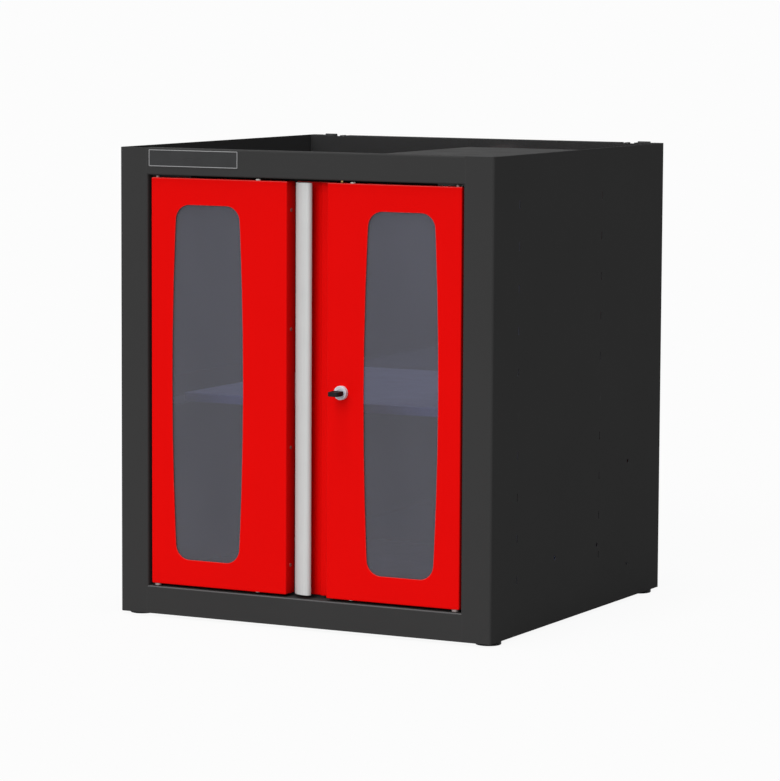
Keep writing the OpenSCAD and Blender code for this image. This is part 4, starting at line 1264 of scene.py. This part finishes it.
@dataclass
class Door:
    """What both doors have: a folded shell with a window, its pane, rivets, buffers and pivots."""

    side: Side
    plan: Plan
    finishes: Finishes
    skin: float = 1.5 * MM
    fold: float = 2.2 * MM
    broken: float = 0.35 * MM
    window_size: tuple[float, float] = (142 * MM, 621 * MM)
    window_bulge: float = 8.5 * MM
    window_corner: float = 25 * MM
    window_in: float = 113 * MM
    arc_sides: int = 400
    # Share of the edge colour painted on the shell's top folds as a highlight
    wear_and_highlight: float = 0.6
    pane_corner: float = 6 * MM
    pane_edge: float = 0.3 * MM
    rivet_radius: float = 3.25 * MM
    rivet_rise: float = 1 * MM
    rivet_dome: float = 0.8 * MM
    rivet_rim: float = 1.1 * MM
    rivet_hollow: float = 0.5 * MM
    rivet_shank: float = 1.6 * MM
    rivet_grip: float = 3.5 * MM
    rivet_back: float = 16 * MM
    rivet_pitch: float = 204.5 * MM
    rivet_count: int = 4
    buffer_radius: float = 4.5 * MM
    buffer_stem: float = 2.5 * MM
    buffer_stem_length: float = 6 * MM
    buffer_dome: float = 1.6 * MM
    low_button: float = 1.2 * MM
    low_dome: float = 0.96 * MM

    def __post_init__(self) -> None:
        """Reads the door's box from its CAD shell."""
        self.word = self.side.name.lower()
        self.body = Body(f"{self.word}_door")
        self.low, self.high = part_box(f"{self.word}_door_shell")
        self.hinge_x = self.high.x if self.side is Side.RIGHT else self.low.x
        self.middle = (self.low.z + self.high.z) / 2

    def build(self) -> None:
        """Builds and dresses every piece of the door."""
        self.build_shell()
        self.build_pane()
        self.build_rivets()
        self.build_buffers()
        self.dress_nodes()

    def window_tool(self) -> Workpiece:
        """Makes the tool that cuts the window: bowed sides, straight ends and round corners.

        Returns:
            The cutting tool.
        """
        width, height = self.window_size
        centre = Vector((self.hinge_x - self.side.value * self.window_in, self.low.y, self.middle))
        reach = Vector((width / 2, 2 * PAST, height / 2))
        tool = Workpiece.block("window_tool", centre - reach, centre + reach)
        bow = ((height / 2) ** 2 + self.window_bulge ** 2) / (2 * self.window_bulge)
        for sign in (-1, 1):
            base = centre + Vector((sign * (bow - width / 2), -4 * PAST, 0))
            tool.trim_to(Workpiece.bar("bow_limit", base, Axis.Y, bow, 8 * PAST, self.arc_sides))
        ends = (self.middle - height / 2, self.middle + height / 2)
        side_reach = width / 2 - self.window_bulge
        tool.round_edges(all_of(
            runs_along(Axis.Y), lambda edge: min(abs(middle(edge).z - end) for end in ends) < TOUCH,
            lambda edge: abs(middle(edge).x - centre.x) > side_reach - MM), self.window_corner, segments=8)
        return tool

    def shell_steps(self) -> tuple[Vector, list[Vector], list[Vector]]:
        """Gives the free edge of the front skin and the folds of its two upright edges.

        Returns:
            The skin's free edge place, the folds at the free edge and the folds at the hinge edge.
        """
        depth = Vector((0, self.high.y - self.low.y, 0))
        free_x = self.high.x if self.side is Side.LEFT else self.low.x
        return Vector((free_x, self.low.y, self.middle)), [depth], [depth]

    def extra_tools(self) -> list[Workpiece]:
        """Makes the tools for further holes in the shell."""
        return []

    def build_shell(self) -> None:
        """Folds the door's shell, closes its ends and cuts its openings."""
        free, free_folds, hinge_folds = self.shell_steps()
        hinge = Vector((self.hinge_x, self.low.y, self.middle))
        left, right = sorted((free.x, hinge.x))
        shell = Workpiece.plate(f"{self.word}_door_skin", Vector((left, self.low.y, self.low.z)),
                                Vector((right, self.low.y, self.high.z)), Vector((0, -1, 0)))
        shell.fold(free, *free_folds).fold(hinge, *hinge_folds)
        for level in (self.low.z, self.high.z):
            shell.cap(lies_at(Axis.Z, level))
        shell.outward().round_edges(is_fold, self.fold).thicken(self.skin)
        shell.cut(self.window_tool(), *self.extra_tools()).soften(self.broken)
        # Painted highlight: the shell's top folds get lighter red where the top light would catch them
        shell.paint_fold_highlight(faces_up_front, self.wear_and_highlight)
        shell.fit(self.body, self.finishes.door, f"{self.word}_door_shell")

    def build_pane(self) -> None:
        """Cuts the smoked pane with rounded corners."""
        low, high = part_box(f"{self.word}_window_pane")
        pane = Workpiece.block(f"{self.word}_smoked_pane", low, high)
        pane.round_edges(runs_along(Axis.Y), self.pane_corner, segments=5)
        pane.soften(self.pane_edge).fit(self.body, self.finishes.pane, f"{self.word}_window_pane")

    def rivet(self, face_x: float, outward: int) -> Workpiece:
        """Makes the lowest blind rivet of a row: a domed head with its hollow mandrel end, and a shank.

        Args:
            face_x: Place of the wall that it sits on.
            outward: Sign of X that its head points to.

        Returns:
            The rivet.
        """
        span = (self.rivet_count - 1) * self.rivet_pitch
        base = Vector((face_x, self.low.y + self.rivet_back, self.middle - span / 2))
        inward = Vector((-outward, 0, 0))
        rise = outward * self.rivet_rise
        tip = face_x + rise
        head = Workpiece.bar("rivet", base, Axis.X, self.rivet_radius, rise, RIVET_SIDES)
        head.round_edges(lies_at(Axis.X, tip), self.rivet_dome)
        head.sink(lies_at(Axis.X, tip), self.rivet_rim, inward * self.rivet_hollow)
        shoulder = self.rivet_radius - self.rivet_shank
        return head.sink(lies_at(Axis.X, face_x), shoulder, inward * self.rivet_grip)

    def build_rivets(self) -> None:
        """Makes the rivets of the hinge wall, and of the left door's free wall."""
        row = [self.rivet(self.hinge_x, self.side.value)]
        if self.side is Side.LEFT:
            row.append(self.rivet(self.high.x, 1))
        step = Vector((0, 0, self.rivet_pitch))
        copies = [first.copy(step * i) for first in row for i in range(1, self.rivet_count)]
        rivets = row[0].gather(*row[1:], *copies).outward()
        rivets.obj.name = f"{self.word}_blind_rivets"
        rivets.shade().fit(self.body, self.finishes.rivet, f"{self.word}_door_rivets")

    def build_buffers(self) -> None:
        """Makes the domed nylon buttons on the door's two ends."""
        node = f"{self.word}_door_buffers"
        low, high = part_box(node)
        place = (low + high) / 2
        shoulder = self.buffer_radius - self.buffer_stem
        buttons = []
        for end, level, rise, dome in (
                (End.TOP, self.high.z, high.z - self.high.z, self.buffer_dome),
                (End.BOTTOM, self.low.z, self.low_button, self.low_dome)):
            outward = Vector((0, 0, end.value))
            base = Vector((place.x, place.y, level))
            button = Workpiece.bar(f"{self.word}_buffer_buttons", base, Axis.Z, self.buffer_radius,
                                   end.value * rise, HOLE_SIDES)
            button.round_edges(lies_at(Axis.Z, level + end.value * rise), dome, segments=5)
            button.sink(lies_at(Axis.Z, level), shoulder, -outward * self.buffer_stem_length)
            buttons.append(button)
        buttons[0].gather(buttons[1]).outward().shade().fit(self.body, self.finishes.nylon, node)

    def dress_nodes(self) -> None:
        """Dresses the door's pieces that stay as they were built in CAD."""
        dress(self.finishes.door, f"{self.word}_door_liner")
        dress(self.finishes.foam, f"{self.word}_window_gasket")
        dress(self.finishes.pin, f"{self.word}_pivot_pins")
        dress(self.finishes.zinc, f"{self.word}_pivot_blocks")


@dataclass
class LockDoor(Door):
    """The right door, with its stepped finger channel, handle and lock fittings."""

    panel_width: float = 255 * MM
    channel_depth: float = 20 * MM
    channel_ledge: float = 22 * MM
    channel_step: float = 5 * MM
    housing_radius: float = 9 * MM
    blade: float = 2.5 * MM
    foot: float = 22 * MM
    blade_reach: float = 28.3 * MM
    blade_rise: float = 14.6 * MM
    nose: float = 7.5 * MM
    blade_back: float = 0.4 * MM
    blade_edge: float = 0.45 * MM
    sweep_faces: int = 20
    nose_faces: int = 10
    screw_head: float = 4 * MM
    screw_rise: float = 2.4 * MM
    screw_dome: float = 1.2 * MM
    screw_shank: float = 2 * MM
    screw_count: int = 4
    cross: Triple = (2.2 * MM, 1.2 * MM, 0.4 * MM)
    ring_dome: float = 1.1 * MM
    ring_edge: float = 0.3 * MM
    housing_fit: float = 0.02 * MM
    bore_fit: float = 0.05 * MM

    def build(self) -> None:
        """Builds and dresses every piece of the door."""
        super().build()
        self.build_handle()
        self.build_screws()
        self.build_lock_ring()
        dress(self.finishes.zinc, "lock_nut")
        dress(self.finishes.black, "rod_guides")

    def shell_steps(self) -> tuple[Vector, list[Vector], list[Vector]]:
        """Gives the raised panel's free edge and the folds of the stepped channel.

        Returns:
            The panel's free edge place, the folds at the free edge and the folds at the hinge edge.
        """
        panel_x = self.high.x - self.panel_width
        step_x = panel_x - self.channel_ledge
        thickness = self.high.y - self.low.y
        channel = [
            Vector((0, self.channel_depth, 0)), Vector((-self.channel_ledge, 0, 0)),
            Vector((0, self.channel_step, 0)), Vector((self.low.x - step_x, 0, 0)),
            Vector((0, thickness - self.channel_depth - self.channel_step, 0)),
        ]
        return Vector((panel_x, self.low.y, self.middle)), channel, [Vector((0, thickness, 0))]

    def extra_tools(self) -> list[Workpiece]:
        """Makes the tools for the lock housing and the two lock rods.

        Returns:
            The cutting tools.
        """
        lock = self.plan.lock
        return [
            Workpiece.bar("lock_tool", Vector((lock.x, self.low.y - PAST, lock.z)), Axis.Y,
                          self.housing_radius, 2 * PAST),
            self.plan.rod_tool(End.TOP, self.high.z),
            self.plan.rod_tool(End.BOTTOM, self.low.z),
        ]

    def build_handle(self) -> None:
        """Draws the handle's profile: foot, leg, swept blade and round nose."""
        low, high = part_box("handle_profile")
        floor = high.y
        mid_z = (low.z + high.z) / 2
        front = self.low.y + self.blade_back
        sweep = (self.blade_reach ** 2 + self.blade_rise ** 2) / (2 * self.blade_rise)
        tilt = math.asin(self.blade_reach / sweep)
        nose_x = low.x + self.blade_reach
        leg_top = front + self.blade_rise
        profile = Workpiece.plate("handle_blade", Vector((low.x, floor, low.z)),
                                  Vector((low.x + self.foot, floor, high.z)), Vector((0, 1, 0)))
        profile.fold(
            Vector((low.x, floor, mid_z)), Vector((0, leg_top - floor, 0)),
            Arc(Vector((nose_x, front + sweep, mid_z)), tilt, self.sweep_faces),
            Arc(Vector((nose_x, front + self.nose, mid_z)), math.pi / 2, self.nose_faces))
        profile.thicken(self.blade).soften(self.blade_edge, segments=3)
        profile.fit(self.body, self.finishes.aluminium, "handle_profile")

    def build_screws(self) -> None:
        """Makes the handle's pan-head screws with their cross recess."""
        low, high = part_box("handle_screws")
        place = Vector(((low.x + high.x) / 2, low.y, low.z + self.screw_head))
        screw = Workpiece.bar("handle_pan_screws", place, Axis.Y, self.screw_head, self.screw_rise,
                              HOLE_SIDES)
        screw.round_edges(lies_at(Axis.Y, low.y), self.screw_dome, segments=5)
        screw.sink(lies_at(Axis.Y, low.y + self.screw_rise), self.screw_head - self.screw_shank,
                   Vector((0, high.y - low.y - self.screw_rise, 0)))
        for half in (Vector(self.cross), Vector(reversed(self.cross))):
            screw.cut(Workpiece.block("cross_tool", place - half, place + half))
        step = Vector((0, 0, (high.z - low.z - 2 * self.screw_head) / (self.screw_count - 1)))
        copies = [screw.copy(step * i) for i in range(1, self.screw_count)]
        screw.gather(*copies).shade().fit(self.body, self.finishes.zinc, "handle_screws")

    def build_lock_ring(self) -> None:
        """Turns the lock's face ring and housing, bored for the barrel."""
        low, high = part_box("lock_housing")
        place = front_centre("lock_housing")
        ring_radius = (high.x - low.x) / 2
        barrel_low, barrel_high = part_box("lock_barrel")
        bore = (barrel_high.x - barrel_low.x) / 2 + self.bore_fit
        ring = Workpiece.bar("lock_ring", place, Axis.Y, ring_radius, self.low.y - low.y, TURNED_SIDES)
        ring.round_edges(lies_at(Axis.Y, low.y), self.ring_dome)
        ring.sink(lies_at(Axis.Y, self.low.y), ring_radius - self.housing_radius + self.housing_fit,
                  Vector((0, high.y - self.low.y, 0)))
        ring.cut(Workpiece.bar("bore_tool", place - Vector((0, PAST, 0)), Axis.Y, bore,
                               high.y - low.y + 2 * PAST, TURNED_SIDES))
        ring.soften(self.ring_edge).fit(self.body, self.finishes.lock, "lock_housing")


@dataclass
class Lock:
    """Barrel, cam, lock rods and the key."""

    finishes: Finishes
    slot_clear: float = 0.15 * MM
    tail: float = 3.5 * MM
    tail_length: float = 2.5 * MM
    bow_corner: float = 5 * MM
    bow_edge: float = 1.4 * MM
    bow_rim: float = 2.6 * MM
    bow_hollow: float = 0.9 * MM
    neck: Triple = (5.2 * MM, 2.6 * MM, 2.6 * MM)
    groove: float = 0.45 * MM
    groove_border: float = 2.4 * MM
    blade_tip: float = 1.5 * MM
    plug_edge: float = 0.25 * MM
    key_edge: float = 0.2 * MM

    def build(self) -> None:
        """Builds and dresses every piece of the lock and the key."""
        self.build_barrel()
        self.build_key()
        dress(self.finishes.zinc, "lock_cam", "cam_screw")
        dress(self.finishes.yellow, "upper_lock_rod", "lower_lock_rod")

    def build_barrel(self) -> None:
        """Turns the barrel with its key slot and square tail."""
        low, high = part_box("lock_barrel")
        blade_low, blade_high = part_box("key_blade")
        place = front_centre("lock_barrel")
        radius = (high.x - low.x) / 2
        body_length = high.y - low.y - self.tail_length
        barrel = Workpiece.bar("lock_plug", place, Axis.Y, radius, body_length, TURNED_SIDES)
        tail = Vector((self.tail, 0, self.tail))
        foot = place + Vector((0, body_length - PAST, 0))
        tail_end = foot + tail + Vector((0, PAST + self.tail_length, 0))
        barrel.weld_on(Workpiece.block("tail", foot - tail, tail_end))
        clear = Vector((self.slot_clear, 0, self.slot_clear))
        slot_low = Vector((blade_low.x, low.y - PAST, blade_low.z)) - clear
        slot_high = Vector((blade_high.x, blade_high.y + self.slot_clear, blade_high.z)) + clear
        barrel.cut(Workpiece.block("slot_tool", slot_low, slot_high))
        barrel.soften(self.plug_edge).fit(Body.LOCK_BARREL, self.finishes.lock, "lock_barrel")

    def build_key(self) -> None:
        """Makes the key's moulded bow with hollowed faces and a neck, and its grooved blade."""
        low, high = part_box("key_bow")
        half_width, length, half_height = self.neck
        root = Vector(((low.x + high.x) / 2, high.y, (low.z + high.z) / 2))
        neck = Workpiece.block("neck", root - Vector((half_width, self.bow_rim, half_height)),
                               root + Vector((half_width, length, half_height)))
        bow = Workpiece.block("key_grip", low, high)
        bow.round_edges(runs_along(Axis.Z), self.bow_corner, segments=6)
        bow.round_edges(lambda edge: is_fold(edge) and not runs_along(Axis.Z)(edge), self.bow_edge)
        bow.hollow_faces(Axis.Z, self.bow_rim, self.bow_hollow)
        bow.weld_on(neck).soften(self.key_edge).fit(Body.KEY, self.finishes.black, "key_bow")
        low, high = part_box("key_blade")
        blade = Workpiece.block("key_shank", low, high)
        blade.hollow_faces(Axis.Z, self.groove_border, self.groove)
        blade.round_edges(all_of(runs_along(Axis.Z), lies_at(Axis.Y, high.y)), self.blade_tip, segments=3)
        blade.soften(self.key_edge).fit(Body.KEY, self.finishes.zinc, "key_blade")


@dataclass(frozen=True)
class Lamp:
    """A broad, far light, even over the floor.

    At level 1 a surface that faces it shows its colour as written.
    """

    name: str
    source: Triple
    level: float
    spread: float

    def build(self) -> None:
        """Hangs the light so that it shines from its source to the cabinet."""
        data = bpy.data.lights.new(self.name, "SUN")
        data.energy = self.level * math.pi
        data.angle = self.spread
        light = bpy.data.objects.new(self.name, data)
        bpy.context.scene.collection.objects.link(light)
        light.rotation_euler = (-Vector(self.source)).to_track_quat("-Z", "Y").to_euler()


@dataclass
class Studio:
    """Pale floor, soft lamps and the photograph's camera."""

    floor_reach: float = 2000.0
    floor_tone: Colour = (0.48, 0.48, 0.48)
    floor_white: float = 0.925
    sky: float = 0.36
    sky_colour: Colour = (1.0, 1.0, 1.0)
    lamps: tuple[Lamp, ...] = (
        Lamp("front_light", (-0.04, -1.0, 0.5), 0.61, math.radians(45)),
        Lamp("top_light", (0.0, -0.12, 1.0), 0.75, math.radians(24)))
    eye: Triple = (3.0455, -5.8755, 1.092)
    yaw: float = math.radians(27.44)
    pitch: float = math.radians(6.10)
    roll: float = math.radians(0.301)
    focal_px: float = 3714.1
    photo_px: int = 781
    sensor_mm: float = 36.0

    def build(self) -> None:
        """Builds the floor, the light and the camera."""
        self.build_floor()
        self.build_sky()
        for lamp in self.lamps:
            lamp.build()
        self.build_camera()
        bpy.context.scene.view_settings.view_transform = "Standard"

    @staticmethod
    def seen_directly(wiring: Wiring) -> bpy.types.NodeSocket:
        """Gives a value that is 1 for rays that show the background: seen, mirrored or through glass.

        Args:
            wiring: Node tree that it is added to.

        Returns:
            The value.
        """
        rays = wiring.add("ShaderNodeLightPath").outputs
        mirrored = wiring.join("MAXIMUM", rays["Is Camera Ray"], rays["Is Glossy Ray"])
        return wiring.join("MAXIMUM", mirrored, rays["Is Transmission Ray"])

    def build_floor(self) -> None:
        """Lays a pale floor that shows nearly white and keeps the cabinet's shadow."""
        clear_selection()
        bpy.ops.mesh.primitive_plane_add(size=self.floor_reach)
        floor = bpy.context.active_object
        floor.name = "studio_floor"
        material = bpy.data.materials.new("studio_floor")
        material.use_nodes = True
        wiring = Wiring(material.node_tree)
        wiring.tree.nodes.clear()
        matt = wiring.add("ShaderNodeBsdfDiffuse", {"Color": self.floor_tone})
        glow = wiring.add("ShaderNodeEmission")
        share = wiring.join("MULTIPLY", self.seen_directly(wiring), self.floor_white)
        mix = wiring.add("ShaderNodeMixShader", {0: share, 1: matt.outputs[0], 2: glow.outputs[0]})
        wiring.add("ShaderNodeOutputMaterial", {"Surface": mix.outputs[0]})
        floor.data.materials.append(material)

    def build_sky(self) -> None:
        """Sets an even sky that is white where it is seen and softer where it only lights."""
        world = bpy.data.worlds.new("studio_sky")
        world.use_nodes = True
        bpy.context.scene.world = world
        wiring = Wiring(world.node_tree)
        background = wiring.tree.nodes["Background"]
        seen = self.seen_directly(wiring)
        wiring.feed(background.inputs["Color"], self.sky_colour)
        wiring.feed(background.inputs["Strength"], wiring.spread(seen, self.sky, 1.0, start=0.0, end=1.0))

    def build_camera(self) -> None:
        """Sets the camera where the photograph was taken from."""
        forward = Vector((-math.sin(self.yaw) * math.cos(self.pitch),
                          math.cos(self.yaw) * math.cos(self.pitch), -math.sin(self.pitch)))
        level = Vector((math.cos(self.yaw), math.sin(self.yaw), 0.0))
        upright = level.cross(forward)
        right = math.cos(self.roll) * level + math.sin(self.roll) * upright
        up = math.cos(self.roll) * upright - math.sin(self.roll) * level
        data = bpy.data.cameras.new("photo_camera")
        data.sensor_width = self.sensor_mm
        data.lens = self.sensor_mm * self.focal_px / self.photo_px
        camera = bpy.data.objects.new("photo_camera", data)
        bpy.context.scene.collection.objects.link(camera)
        turn = Matrix((right, up, -forward)).transposed().to_4x4()
        camera.matrix_world = Matrix.Translation(self.eye) @ turn
        bpy.context.scene.camera = camera


def main() -> None:
    logging.basicConfig(level=logging.INFO, format="%(name)s: %(message)s")
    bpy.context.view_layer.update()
    plan = Plan()
    finishes = Finishes()
    Carcass(plan, finishes).build()
    Shelf(finishes).build()
    Door(Side.LEFT, plan, finishes).build()
    LockDoor(Side.RIGHT, plan, finishes).build()
    Lock(finishes).build()
    Studio().build()


if __name__ == "__main__":
    main()
